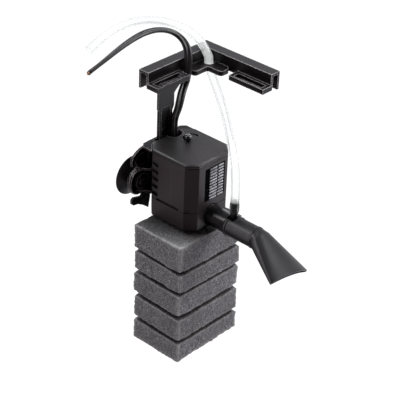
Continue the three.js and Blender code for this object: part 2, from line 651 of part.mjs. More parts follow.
// sleeve over the spigot with a window round the air stub, then a bent flat fan, open at
// its mouth; in the nozzle's frame, where y is the world's
function fanNozzle() {
  const outer = fanRings(0, 1);
  const inner = fanRings(1.1, 1.02);
  const withRoot = (rings, y) => [rings[0].map(([x, , z]) => [x, y, z]), ...rings];
  const windowAngle = radians(43);
  const windowX = 10 * Math.sin(windowAngle);
  const windowZ = 10 * Math.cos(windowAngle);
  return cut(
    join(
      cylY(SLEEVE_R, [-104.9, -79.9], 28),
      skin(withRoot(outer, -104)),
      cylY(SLEEVE_R + 0.45, [-81.4, -79.9], 28),
      cylY(SLEEVE_R + 0.3, [-104.6, -102.9], 28)),
    cylY(SLEEVE_BORE, [-103.4, -79], 28),
    skin(withRoot(inner, -102.5)),
    prismY([[0, 0], [windowX, windowZ], [0, 13], [-windowX, windowZ]], [-86.3, -79]));
}

// ---------- strainer and foam, in the head's frame ----------
// slotted tube with a neck in the lower housing and a flange above the foam
function intakeStrainer() {
  let strainer = cut(
    join(cylZ(9.2, [-176, -98.6], 24), cylZ(12, [-101.9, -100.3], 28)),
    cylZ(7.7, [-174, -98], 24));
  for (let k = 0; k < 5; k++) {
    const top = -108 - 13 * k;
    const slotZ = [top - 9, top];
    strainer = cut(strainer,
      box([-12, 12], [-3.4, 3.4], slotZ),
      box([-3.4, 3.4], [-12, 12], slotZ));
  }
  return strainer;
}

const FOAM = { x: [-36.4, 27.8], y: [-27.3, 18.2], z: [-203.0, -102.4] };
const FOAM_BORE_R = 10.2;
const FOAM_BORE_DEPTH = 76;
// centre z, height, depth, fall towards +x and rise towards +y in degrees
const GROOVES = [
  [-125.0, 1.8, 4.2, 1.66, 1.87],
  [-143.45, 2.4, 4.4, 1.66, 0.49],
  [-163.45, 2.8, 4.6, 0.68, 1.87],
  [-185.4, 3.0, 4.8, 1.4, 1.24],
];
// block with a blind bore for the strainer and four grooves all round
function filterFoam() {
  const centreX = mid(FOAM.x);
  const slabHalf = span(FOAM.x) / 2 + 3;
  let foam = box(FOAM.x, FOAM.y, FOAM.z);
  for (const [z, height, depth, fall, rise] of GROOVES) {
    const slab = box([-slabHalf, slabHalf], grow(FOAM.y, 1), [-height / 2, height / 2])
      .rotate([rise, fall, 0]).translate([centreX, 0, z]);
    const kept = box(grow(FOAM.x, -depth), grow(FOAM.y, -depth), grow([z, z], height + 4));
    foam = cut(foam, cut(slab, kept));
  }
  const top = FOAM.z[1];
  return cut(foam, cylZ(FOAM_BORE_R, [top - FOAM_BORE_DEPTH, top + 1], 32));
}

// ---------- cable and air hose ----------
// grommet in the floor of the cable bay, open at the back so that it slides over the cable;
// in the head's frame
function cableGrommet() {
  const through = [GLAND_FLOOR - 5, GLAND_FLOOR + 3];
  return cut(
    join(
      prismZ(cableSlot(4.1, 2.5), [GLAND_FLOOR - 3.4, GLAND_FLOOR + 1.2]),
      prismZ(cableSlot(4.9, 3.2), [GLAND_FLOOR + 0.3, GLAND_FLOOR + 1.9])),
    prismZ(cableSlot(3.3, 1.8), through),
    box([GLAND_X - 2.2, GLAND_X + 2.2], [CABLE_Y, BEYOND], through),
    box(ACROSS, [HALF_D - 0.2, BEYOND], [-70, -40]));
}

const CABLE_HALF_T = 1.5;
const CABLE_HALF_W = 3.0;
const CABLE_STEPS = 52;
// centre line x, y, z and how far the wide side is turned there, in degrees
const CABLE_LINE = [
  [-52.3, -18.8, -57, 48.6], [-52.3, -18.8, -52, 48.6], [-52.3, -18.7, -45, 48.6],
  [-52.2, -18.4, -40.5, 48], [-51.9, -18.1, -36, 48], [-51.3, -18.5, -31.3, 46],
  [-48, -17.8, -26.6, 34], [-44.5, -16.1, -22.6, 12], [-40.3, -13.7, -19, -4],
  [-36, -11.6, -16, -12], [-32.4, -10.3, -12.4, -20], [-30.9, -9.8, -7.6, -20],
  [-29.4, -9.1, -2.2, -12], [-28, -7.7, 2.7, 0], [-26.3, -5.6, 7.2, 18],
  [-25.3, -2, 11.3, 44], [-26, 2.1, 14.7, 62], [-28.6, 5.7, 17.7, 65],
  [-32.8, 7.9, 20, 62], [-37.8, 8.8, 21.8, 60], [-42.9, 8.8, 23.4, 58],
  [-49.9, 8.3, 25, 53], [-58.8, 8, 25.7, 50], [-69.5, 8, 24.4, 55],
  [-82.7, 7.8, 21.4, 66], [-95.7, 7.6, 17.5, 78], [-110.3, 8, 12.9, 86],
];
// at zero turn the wide side is square to this direction
const CABLE_FACING = new THREE.Vector3(-0.64, -0.56, 0.53).normalize();

// flat cable: out of the bay, past the strip, up between shelf and wing, over the rim and away
function powerCable() {
  const offset = CABLE_HALF_W - CABLE_HALF_T;
  const section = [
    ...circle(CABLE_HALF_T, 5, offset, 0, -90, 90),
    ...circle(CABLE_HALF_T, 5, -offset, 0, 90, 270),
  ];
  const curve = smoothPath(CABLE_LINE.map(([x, y, z]) => [x, y, z]));
  const rings = [];
  for (let k = 0; k <= CABLE_STEPS; k++) {
    const u = k / CABLE_STEPS;
    const along = u * (CABLE_LINE.length - 1);
    const entry = Math.min(Math.floor(along), CABLE_LINE.length - 2);
    const [before, after] = [CABLE_LINE[entry][3], CABLE_LINE[entry + 1][3]];
    const turn = radians(before + (after - before) * (along - entry));
    const centre = curve.getPoint(u);
    const tangent = curve.getTangent(u);
    const level = tangent.clone().cross(CABLE_FACING).normalize();
    const wide = level.clone().multiplyScalar(Math.cos(turn))
      .addScaledVector(tangent.clone().cross(level), Math.sin(turn));
    const thin = tangent.clone().cross(wide);
    rings.push(section.map(([x, y]) =>
      centre.clone().addScaledVector(wide, x).addScaledVector(thin, y).toArray()));
  }
  return skin(rings);
}

// centre line of the air hose
const HOSE_PATH = [
  [HEAD_X, STUB_Y, -79.9], [HEAD_X, STUB_Y, -73], [HEAD_X, STUB_Y, -66],
  [-57.4, -82.4, -55], [-51.6, -76, -44.6], [-37.2, -57.6, -36.4], [-21.4, -38.0, -30.6],
  [-10.8, -19.8, -20.8], [-8.2, -11.1, -12.2], [-8.3, -10.2, -8.2], [-8.3, -9.7, -4.2],
  [-8.2, -8.9, 2], [-8.6, -6.3, 7.6], [-9.6, -1.2, 11.4], [-13.2, 4.6, 14.9],
  [-24, 10, 21.8], [-41.3, 12, 29.8], [-60, 12, 35], [-74.6, 12, 36.4],
  [-92.4, 12, 34.1], [-106.4, 12, 27],
];
// from the stub up to the corner, through the wing and over the rim
const airHose = () => new THREE.ExtrudeGeometry(shapeOf(circle(3.2, 12), circle(2.5, 12)), {
  steps: 44,
  bevelEnabled: false,
  extrudePath: smoothPath(HOSE_PATH),
});

// ---------- assembly ----------
const filter = new THREE.Group();
const pump = new THREE.Group();          // carries the head's frame
pump.position.set(HEAD_X, HEAD_Y, 0);
const nozzle = new THREE.Group();        // turns about the outlet tube
nozzle.position.set(0, -HEAD_Y, TUBE_Z);
nozzle.rotation.y = radians(SWIVEL);
filter.add(pump);
pump.add(nozzle);

function place(parent, name, shape, material, position = [0, 0, 0]) {
  const mesh = new THREE.Mesh(shape.isBufferGeometry ? shape : geometryOf(shape), material);
  mesh.name = name;
  mesh.position.set(...position);
  parent.add(mesh);
}
const LEVER_AT = [LEVER_X, LEVER_Y, 0];

place(filter, 'corner_holder', cornerHolder(), MATERIAL.holder);
place(filter, 'hanger', hanger(), MATERIAL.holder);
place(filter, 'suction_bracket', suctionBracket(), MATERIAL.bracket);
place(filter, 'suction_cup_left', suctionCup(), MATERIAL.suctionCup, [CUP_LEFT_X, 0, CUP_Z]);
place(filter, 'suction_cup_right', suctionCup(), MATERIAL.suctionCup, [CUP_RIGHT_X, 0, CUP_Z]);
place(pump, 'top_cap', topCap(), MATERIAL.cap);
place(pump, 'motor_housing', motorHousing(), MATERIAL.motorHousing);
place(pump, 'front_plate', frontPlate(), MATERIAL.frontPlate);
place(pump, 'lower_housing', lowerHousing(), MATERIAL.lowerHousing);
place(pump, 'impeller_cover', impellerCover(), MATERIAL.impellerCover);
place(pump, 'impeller_shaft', impellerShaft(), MATERIAL.shaft);
place(pump, 'shaft_bush_lower', lowerBush(), MATERIAL.bush);
place(pump, 'shaft_bush_upper', upperBush(), MATERIAL.bush);
place(pump, 'chamber_seal', chamberSeal(), MATERIAL.seal, [0, 0, SKIRT_SEAM - 1.05]);
place(pump, 'rotor_magnet', rotorMagnet(), MATERIAL.magnet);
place(pump, 'impeller', impeller(), MATERIAL.impeller);
place(pump, 'stator_core', statorCore(), MATERIAL.core);
place(pump, 'coil_bobbin', coilBobbin(), MATERIAL.bobbin);
place(pump, 'coil_winding', coilWinding(), MATERIAL.winding);
place(pump, 'flow_lever', flowLever(), MATERIAL.lever, LEVER_AT);
place(pump, 'flow_spindle', flowSpindle(), MATERIAL.spindle, LEVER_AT);
place(pump, 'outlet_tube', outletTube(), MATERIAL.tube);
place(pump, 'nozzle_seal', nozzleSeal(), MATERIAL.seal, [0, NOZZLE_SEAL_Y - HEAD_Y, TUBE_Z]);
place(nozzle, 'fan_nozzle', fanNozzle(), MATERIAL.nozzle);
place(pump, 'intake_strainer', intakeStrainer(), MATERIAL.strainer);
place(pump, 'filter_foam', filterFoam(), MATERIAL.foam);
place(pump, 'cable_grommet', cableGrommet(), MATERIAL.grommet);
place(filter, 'power_cable', powerCable(), MATERIAL.cable);
place(filter, 'air_hose', airHose(), MATERIAL.hose);

export default filter;
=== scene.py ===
"""Aquarium corner filter: motor housing over a foam block, fan nozzle, cable and air hose.

+Z is up, -Y is the front (the nozzle points there) and -X is the left. The pump's upright
axis is at AXIS_X, AXIS_Y. Sizes and places are in millimetres unless a comment says otherwise;
MM turns them into scene metres.
"""
import bpy
import bmesh
import math
import numpy as np
from mathutils import Matrix, Vector

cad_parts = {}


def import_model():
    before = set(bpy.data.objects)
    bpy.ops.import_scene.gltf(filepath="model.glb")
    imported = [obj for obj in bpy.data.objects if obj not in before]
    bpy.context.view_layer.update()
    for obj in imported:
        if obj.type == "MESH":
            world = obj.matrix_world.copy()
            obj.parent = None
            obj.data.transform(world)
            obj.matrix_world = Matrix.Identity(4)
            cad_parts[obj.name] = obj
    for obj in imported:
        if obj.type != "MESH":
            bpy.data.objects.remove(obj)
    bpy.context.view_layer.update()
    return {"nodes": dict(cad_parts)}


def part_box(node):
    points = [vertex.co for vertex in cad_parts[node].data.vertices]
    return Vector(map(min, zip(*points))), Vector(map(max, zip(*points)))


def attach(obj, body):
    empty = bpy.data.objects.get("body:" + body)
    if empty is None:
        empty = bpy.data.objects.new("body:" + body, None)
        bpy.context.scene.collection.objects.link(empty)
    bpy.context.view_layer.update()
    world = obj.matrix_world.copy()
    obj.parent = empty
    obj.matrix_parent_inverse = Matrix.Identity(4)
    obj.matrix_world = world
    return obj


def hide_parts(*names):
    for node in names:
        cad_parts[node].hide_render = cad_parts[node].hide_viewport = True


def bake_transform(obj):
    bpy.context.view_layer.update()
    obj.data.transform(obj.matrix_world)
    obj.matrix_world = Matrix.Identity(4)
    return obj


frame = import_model()
NODES = frame["nodes"]
MM = 0.001
scene = bpy.context.scene
scene.view_settings.view_transform = "Standard"

AXIS_X, AXIS_Y = -57.7, -39.4
LEFT_X = -79.65             # left face of the housing
REAR_CORNER = 55.8          # the slanted rear left corner lies at y - x = this
FLOW_LINE_Y = -42.4         # upright line on the left face


def bounds_mm(node):
    """Lowest and highest corner of a CAD node in millimetres."""
    lo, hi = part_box(node)
    return np.array(lo) * 1000, np.array(hi) * 1000


def add_object(name, data):
    obj = bpy.data.objects.new(name, data)
    scene.collection.objects.link(obj)
    return obj


# ------------------------------------------------------------------ node helpers
class Shader:
    """The node tree of a material or world, with short calls to build it."""

    def __init__(self, owner, output):
        self.owner = owner
        owner.use_nodes = True
        self.tree = owner.node_tree
        self.tree.nodes.clear()
        self.output = self.add(output)
        self.object_coords = None

    def add(self, kind, inputs=None, **props):
        node = self.tree.nodes.new("ShaderNode" + kind)
        for key, value in props.items():
            setattr(node, key, value)
        for key, value in (inputs or {}).items():
            self.put(node, key, value)
        return node

    def put(self, node, key, value):
        """Links a socket or a node's first output, or sets a plain value."""
        socket = node.inputs[key]
        if isinstance(value, bpy.types.Node):
            value = value.outputs[0]
        if isinstance(value, bpy.types.NodeSocket):
            self.tree.links.new(value, socket)
        else:
            if socket.type == "RGBA" and len(value) == 3:
                value = (*value, 1.0)
            socket.default_value = value

    def coords(self):
        if self.object_coords is None:
            self.object_coords = self.add("TexCoord").outputs["Object"]
        return self.object_coords

    def xyz(self):
        node = self.add("SeparateXYZ", {"Vector": self.coords()})
        return [node.outputs[axis] for axis in "XYZ"]

    def stretched(self, *scale):
        return self.add("Mapping", {"Vector": self.coords(), "Scale": scale}).outputs[0]

    def noise(self, size, detail=3.0, rough=0.55, vector=None):
        """Noise with features of about size millimetres."""
        return self.add("TexNoise", {"Vector": vector or self.coords(), "Scale": 1000.0 / size,
                                     "Detail": detail, "Roughness": rough}).outputs["Fac"]

    def voronoi(self, size, feature="F1"):
        return self.add("TexVoronoi", {"Vector": self.coords(), "Scale": 1000 / size},
                        feature=feature).outputs["Distance"]

    def remap(self, value, span, to=(0.0, 1.0), clamp=True):
        """Takes the range span to the range to."""
        return self.add("MapRange", {"Value": value, "From Min": span[0], "From Max": span[1],
                                     "To Min": to[0], "To Max": to[1]},
                        clamp=clamp).outputs["Result"]

    def remap_mm(self, value, span, to=(0.0, 1.0)):
        """remap of a length, with span in millimetres."""
        return self.remap(value, (span[0] * MM, span[1] * MM), to)

    def math(self, operation, a, b=0.0):
        return self.add("Math", {0: a, 1: b}, operation=operation).outputs[0]

    def times(self, a, b):
        return self.math("MULTIPLY", a, b)

    def dot(self, a, b):
        return self.add("VectorMath", {0: a, 1: b}, operation="DOT_PRODUCT").outputs["Value"]

    def mix(self, factor, a, b, blend="MIX"):
        return self.add("Mix", {0: factor, 6: a, 7: b}, data_type="RGBA",
                        blend_type=blend).outputs[2]

    def tint(self, colour, by):
        return self.mix(1.0, colour, by, "MULTIPLY")

    def bump(self, height, strength, depth, under=None):
        """Bump depth millimetres deep, on top of the normal under."""
        inputs = {"Height": height, "Strength": strength, "Distance": depth * MM}
        if under is not None:
            inputs["Normal"] = under
        return self.add("Bump", inputs).outputs[0]

    def attribute(self, name):
        return self.add("Attribute", attribute_name=name).outputs["Fac"]

    def normal(self):
        return self.add("NewGeometry").outputs["Normal"]

    def edges(self, radius, span):
        """0 on flat faces and 1 along edges, from rounded against true normals."""
        round_normal = self.add("Bevel", {"Radius": radius * MM}, samples=4)
        turned = self.math("SUBTRACT", 1.0, self.dot(round_normal, self.normal()))
        return self.remap(turned, span)

    def shade(self, reach, lowest, samples=6):
        """1 in the open, down to lowest deep inside corners and gaps."""
        occlusion = self.add("AmbientOcclusion", {"Distance": reach * MM}, samples=samples)
        return self.remap(occlusion.outputs["AO"], span=(0.15, 0.85), to=(lowest, 1.0))

    def finish(self, shader):
        self.put(self.output, 0, shader)
        return self.owner


def material(name):
    return Shader(bpy.data.materials.new(name), "OutputMaterial")


def brighten(colour, by, lift=0.0):
    return tuple(min(1, c * by + lift) for c in colour)


# ------------------------------------------------------------------ materials
def plastic(name, base, rough=0.42, drift=0.18, grain=0.45, grain_depth=0.02, scuff=0.12,
            edge=0.10, edge_wear_highlight_tint=(0.16, 0.155, 0.16), edge_width=0.55, wear_and_highlight_least=0.15,
            specular=0.5, pattern=None, coat=0.0, streak=0.0, gap=0.15, reach=7.0):
    """Moulded plastic: fine grain, slow colour drift, scuffs and smoother edges, lighter partly
    from scuffing and partly from a painted highlight.

    edge is the strength of the lighter edge colour, part scuffing and part painted highlight, and
    worn its least share; pattern(mat, colour) paints over the base colour; gap is the light left
    in corners by the painted shade and reach how far that shade goes.
    """
    mat = material(name)
    slow = mat.noise(size=22)
    mid = mat.noise(size=5, detail=4, rough=0.6)
    fine = mat.noise(size=grain, detail=5, rough=0.65)
    colour = mat.mix(mat.remap(slow, span=(0.35, 0.65)),
                     brighten(base, 1 - drift), brighten(base, 1 + drift))
    colour = mat.mix(mat.remap(mid, span=(0.3, 0.75), to=(0, 0.35)), colour,
                     brighten(base, 1 + 1.2 * drift))
    speck = mat.remap(mat.noise(size=0.8, detail=2), span=(0.68, 0.8), to=(0, 0.10))
    colour = mat.mix(speck, colour, brighten(base, 2.2, lift=0.01))
    patchy = mat.remap(mat.noise(size=2.2, detail=4, rough=0.7), span=(0.3, 0.62), to=(wear_and_highlight_least, 1))
    # lighter edges: partly scuffing, partly a painted highlight standing in for light caught by
    # rounded edges
    rim = mat.times(mat.edges(edge_width, span=(0.015, 0.16)), patchy)
    rim = mat.times(rim, edge)
    colour = mat.mix(rim, colour, edge_wear_highlight_tint)
    if pattern:
        colour = pattern(mat, colour)

    scratch = mat.noise(size=1.2, rough=0.5, vector=mat.stretched(0.35, 0.35, 3.0))
    roughness = mat.math("ADD",
                         mat.remap(fine, span=(0.3, 0.7), to=(rough - 0.07, rough + 0.07)),
                         mat.remap(scratch, span=(0.6, 0.75), to=(0.0, scuff)))
    roughness = mat.math("ADD", roughness, mat.remap(slow, span=(0.3, 0.7), to=(-0.04, 0.05)))
    roughness = mat.math("SUBTRACT", roughness, mat.times(rim, 0.6))
    normal = mat.bump(fine, strength=0.55, depth=grain_depth)
    normal = mat.bump(mid, strength=0.25, depth=0.05, under=normal)
    if streak:
        lines = mat.noise(size=3.0, detail=2, rough=0.5, vector=mat.stretched(1.0, 1.0, 0.08))
        normal = mat.bump(lines, strength=streak, depth=0.06, under=normal)
    open_light = mat.shade(reach, lowest=gap)
    return mat.finish(mat.add("BsdfPrincipled", {
        "Base Color": mat.tint(colour, open_light), "Roughness": roughness, "Normal": normal,
        "Specular IOR Level": mat.times(open_light, specular),
        "Coat Weight": coat, "Coat Roughness": 0.18}))


def flow_line(mat, colour):
    """Faint upright line on the left face of the housing."""
    y = mat.xyz()[1]
    away = mat.math("ABSOLUTE", mat.math("SUBTRACT", y, FLOW_LINE_Y * MM))
    line = mat.remap_mm(away, span=(0.0, 0.5), to=(0.35, 0.0))
    return mat.mix(line, colour, (0.075, 0.066, 0.068))


def left_face(mat, colour):
    """Flow line on the left face, and painted shade: the insides of its gills and slit are
    painted black.
    """
    colour = flow_line(mat, colour)
    x, y, z = mat.xyz()
    behind_face = mat.remap_mm(x, span=(LEFT_X + 0.12, LEFT_X + 0.5))
    behind_corner = mat.remap_mm(mat.math("SUBTRACT", y, x),
                                 span=(REAR_CORNER - 0.6, REAR_CORNER - 0.2), to=(1.0, 0.0))
    gill = mat.remap_mm(y, span=(-29.8, -29.5))
    slit = mat.remap_mm(z, span=(-82.0, -82.3))
    near_face = mat.remap_mm(x, span=(-76.9, -76.7), to=(1.0, 0.0))
    # painted shade: the insides of the gills and the slit go near black
    deep = mat.times(mat.times(behind_face, behind_corner),
                     mat.times(near_face, mat.math("MAXIMUM", gill, slit)))
    return mat.mix(deep, colour, (0.0006, 0.0005, 0.0005))


def lid_shade(mat, colour):
    """Painted light and shade: the lid is darker towards its rear left corner and lighter towards
    the front right.
    """
    x, y, _ = mat.xyz()
    middle = AXIS_X + 35.5
    across = mat.math("SUBTRACT", x, mat.times(y, 0.9))
    return mat.tint(colour, mat.remap_mm(across, span=(middle - 16.0, middle + 14.0),
                                         to=(0.35, 1.25)))


def flank(mat, colour):
    """Painted highlight: the nozzle's left flank, turned to the light, is a lighter grey."""
    facing = mat.dot(mat.normal(), (-0.90, -0.22, 0.38))
    flank_highlight = mat.remap(facing, span=(0.84, 0.99), to=(0.0, 0.9))
    patchy = mat.remap(mat.noise(size=4), span=(0.3, 0.7), to=(0.7, 1.0))
    # painted highlight on the left flank
    return mat.mix(mat.times(flank_highlight, patchy), colour, (0.150, 0.143, 0.158))


def rubber(name, base, rough=0.62, sheen=0.25):
    """Soft black rubber with a pale bloom."""
    mat = material(name)
    slow = mat.noise(size=9)
    fine = mat.noise(size=0.5, detail=5, rough=0.7)
    bloom = mat.remap(mat.noise(size=3.5, detail=4, rough=0.65), span=(0.5, 0.8), to=(0, 0.35))
    colour = mat.mix(mat.remap(slow, span=(0.35, 0.65)), brighten(base, 0.8), brighten(base, 1.2))
    colour = mat.mix(bloom, colour, brighten(base, 1.7, lift=0.004))
    return mat.finish(mat.add("BsdfPrincipled", {
        "Base Color": colour,
        "Roughness": mat.remap(fine, span=(0.3, 0.7), to=(rough - 0.08, rough + 0.08)),
        "Normal": mat.bump(fine, strength=0.5, depth=0.03),
        "Sheen Weight": sheen, "Sheen Roughness": 0.4}))


def cable_material():
    mat = material("cable_pvc")
    slow = mat.noise(size=14)
    fine = mat.noise(size=0.7, detail=4, rough=0.6)
    colour = mat.mix(mat.remap(slow, span=(0.35, 0.65)),
                     (0.011, 0.010, 0.011), (0.019, 0.018, 0.020))
    drag = mat.noise(size=1.6, rough=0.6, vector=mat.stretched(1, 1, 0.3))
    roughness = mat.math("ADD", mat.remap(fine, span=(0.3, 0.7), to=(0.27, 0.40)),
                         mat.remap(drag, span=(0.6, 0.8), to=(0, 0.15)))
    normal = mat.bump(slow, strength=0.3, depth=0.25,
                      under=mat.bump(fine, strength=0.4, depth=0.02))
    return mat.finish(mat.add("BsdfPrincipled", {
        "Base Color": colour, "Roughness": roughness, "Normal": normal,
        "Coat Weight": 0.2, "Coat Roughness": 0.25}))


def hose_material():
    """Clear soft PVC, milkier where the wall is seen edge on and dark where grip is 1; part of
    its pale colour is a painted glow.
    """
    mat = material("hose_clear_pvc")
    facing = mat.add("LayerWeight", {"Blend": 0.30}).outputs["Facing"]
    facing = mat.remap(facing, span=(0.35, 0.95))
    haze = mat.remap(mat.noise(size=6), span=(0.3, 0.7), to=(-0.02, 0.04))
    lines = mat.noise(size=0.9, detail=2, rough=0.5, vector=mat.stretched(1, 1, 0.2))
    grip = mat.attribute("grip")
    tone = mat.mix(mat.remap(mat.noise(size=11, detail=2), span=(0.4, 0.6)),
                   (0.86, 0.885, 0.88), (0.93, 0.94, 0.935))
    body = mat.add("BsdfTranslucent", {"Color": mat.mix(grip, tone, (0.15, 0.15, 0.15))})
    skin = mat.add("BsdfDiffuse", {"Color": mat.mix(grip, tone, (0.10, 0.10, 0.10))})
    # painted light: an even glow on the hose stands in for the light it catches
    glow = mat.add("Emission", {"Color": mat.mix(grip, (0.96, 0.98, 0.97), (0.02, 0.02, 0.02)),
                                "Strength": 1.30})
    wall = mat.add("MixShader", {0: 0.5, 1: body, 2: skin})
    milky_wall_and_glow = mat.add("MixShader", {0: 0.66, 1: wall, 2: glow})
    clear = mat.add("BsdfTransparent", {
        "Color": mat.mix(grip, (0.990, 0.993, 0.991), (0.72, 0.72, 0.72))})
    # share of the pale part, milkier wall and painted glow: a base of 0.20, more edge on and more
    # over the grip
    share = mat.math("ADD", mat.math("ADD", mat.times(facing, 0.45), 0.20), haze)
    share = mat.math("ADD", share, mat.times(grip, 0.15))
    inner = mat.add("MixShader", {0: share, 1: clear, 2: milky_wall_and_glow})
    gloss = mat.add("BsdfGlossy", {
        "Color": (1, 1, 1), "Roughness": mat.remap(lines, span=(0.3, 0.7), to=(0.10, 0.2)),
        "Normal": mat.bump(lines, strength=0.2, depth=0.03)})
    fresnel = mat.times(mat.add("Fresnel", {"IOR": 1.30}), 0.7)
    return mat.finish(mat.add("MixShader", {0: fresnel, 1: inner, 2: gloss}))


def foam_top_painted_shade(mat):
    """Share of painted shade on the top face under the pump: most in the middle, none 12 mm
    outside a 40 mm square.
    """
    x, y, z = mat.xyz()
    outside = [mat.math("SUBTRACT",
                        mat.math("ABSOLUTE", mat.math("SUBTRACT", value, centre * MM)), 20.0 * MM)
               for value, centre in ((x, AXIS_X), (y, -41.0))]
    away = mat.math("MAXIMUM", mat.math("MAXIMUM", *outside), 0.0)
    top = mat.remap_mm(z, span=(-105.5, -103.2))
    ragged = mat.remap(mat.noise(size=5), span=(0.3, 0.7), to=(-1.5 * MM, 1.5 * MM), clamp=False)
    return mat.times(top, mat.remap_mm(mat.math("ADD", away, ragged), span=(1.0, 12.0),
                                       to=(0.62, 0.0)))


def foam_material():
    """Open-cell foam: dark pores between grey struts, a painted highlight on the cut edges, faint
    marbling.
    """
    mat = material("foam_open_cell")
    pore = mat.remap(mat.voronoi(size=1.25, feature="DISTANCE_TO_EDGE"),
                     span=(0.02, 0.26), to=(1.0, 0.0))
    small_pore = mat.remap(mat.voronoi(size=0.62), span=(0.25, 0.62))
    strut = mat.mix(mat.remap(mat.noise(size=18), span=(0.35, 0.65)),
                    (0.275, 0.270, 0.290), (0.375, 0.370, 0.400))
    coarse = mat.times(mat.remap(mat.noise(size=2.6, detail=4, rough=0.8),
                                 span=(0.38, 0.62), to=(0.62, 1.38), clamp=False),
                       mat.remap(mat.noise(size=1.15, detail=2, rough=0.6),
                                 span=(0.38, 0.62), to=(0.45, 1.55), clamp=False))
    strut = mat.tint(strut, coarse)
    colour = mat.mix(mat.times(pore, 0.75), (0.052, 0.052, 0.056), strut)
    colour = mat.mix(mat.times(small_pore, 0.35), colour, (0.25, 0.25, 0.26))
    spark = mat.remap(mat.voronoi(size=2.3), span=(0.0, 0.16), to=(0.55, 0.0))
    colour = mat.mix(spark, colour, (0.55, 0.55, 0.57))
    # painted highlight along the cut edges and the lips of the grooves
    edge_highlight_patches = mat.remap(mat.noise(size=2.5), span=(0.3, 0.7), to=(0.45, 0.95))
    colour = mat.mix(mat.times(mat.attribute("edge"), edge_highlight_patches), colour, (0.60, 0.62, 0.61))
    wide_shade = mat.math("POWER", mat.shade(reach=42.0, lowest=0.10, samples=8), 2.2)
    colour = mat.tint(colour, mat.times(wide_shade, mat.shade(reach=2.5, lowest=0.25)))
    # painted shade on the top face under the pump
    colour = mat.mix(foam_top_painted_shade(mat), colour, (0.020, 0.018, 0.018))
    height = mat.math("ADD", mat.times(pore, 0.7), mat.times(small_pore, 0.3))
    return mat.finish(mat.add("BsdfPrincipled", {
        "Base Color": colour, "Roughness": 0.95,
        "Normal": mat.bump(height, strength=0.85, depth=0.35),
        "Specular IOR Level": 0.15, "Sheen Weight": 0.25, "Sheen Roughness": 0.6}))


def rib_material():
    """Front plate: dark ground, ribs with a painted highlight, a patchy silver grey, on their
    front faces.
    """
    mat = material("plate_silver_ribs")
    y = mat.xyz()[1]
    front = bounds_mm("front_plate")[0][1]
    raised = mat.remap_mm(y, span=(front + 0.62, front + 0.42))
    slat_highlight_patches = mat.remap(mat.noise(size=1.6, detail=4, rough=0.65), span=(0.30, 0.62), to=(0.35, 1.0))
    fine = mat.noise(size=0.4, detail=4, rough=0.6)
    ground = mat.mix(mat.remap(mat.noise(size=6), span=(0.35, 0.65)),
                     (0.0025, 0.0025, 0.0032), (0.0055, 0.0055, 0.0070))
    silver = mat.mix(mat.remap(fine, span=(0.3, 0.7)), (0.34, 0.345, 0.37), (0.60, 0.61, 0.65))
    # painted highlight: the slats' front faces go silver grey where the light catches them
    slat_highlight = mat.times(raised, slat_highlight_patches)
    roughness = mat.math("ADD", mat.remap(fine, span=(0.3, 0.7), to=(0.28, 0.45)),
                         mat.remap(slat_highlight, span=(0.0, 1.0), to=(0.35, 0.0)))
    return mat.finish(mat.add("BsdfPrincipled", {
        "Base Color": mat.mix(slat_highlight, ground, silver), "Roughness": roughness,
        "Specular IOR Level": mat.remap(slat_highlight, span=(0.0, 1.0), to=(0.0, 0.5)),
        "Metallic": mat.times(slat_highlight, 0.2), "Normal": mat.bump(fine, strength=0.4, depth=0.02)}))


def metal(name, base, rough, stretch, size, metallic=1.0):
    """Metal with lines of the given size, drawn out by the stretch scales."""
    mat = material(name)
    lines = mat.noise(size=size, rough=0.6, vector=mat.stretched(*stretch))
    colour = mat.mix(mat.remap(lines, span=(0.3, 0.7)), brighten(base, 0.8), brighten(base, 1.15))
    return mat.finish(mat.add("BsdfPrincipled", {
        "Base Color": colour,
        "Roughness": mat.remap(lines, span=(0.3, 0.7), to=(rough - 0.08, rough + 0.1)),
        "Metallic": metallic, "Normal": mat.bump(lines, strength=0.4, depth=0.05)}))


BROWN_BLACK = dict(base=(0.0230, 0.0150, 0.0162), rough=0.47, edge=0.35,
                   edge_wear_highlight_tint=(0.10, 0.088, 0.090), grain_depth=0.03, gap=0.05)

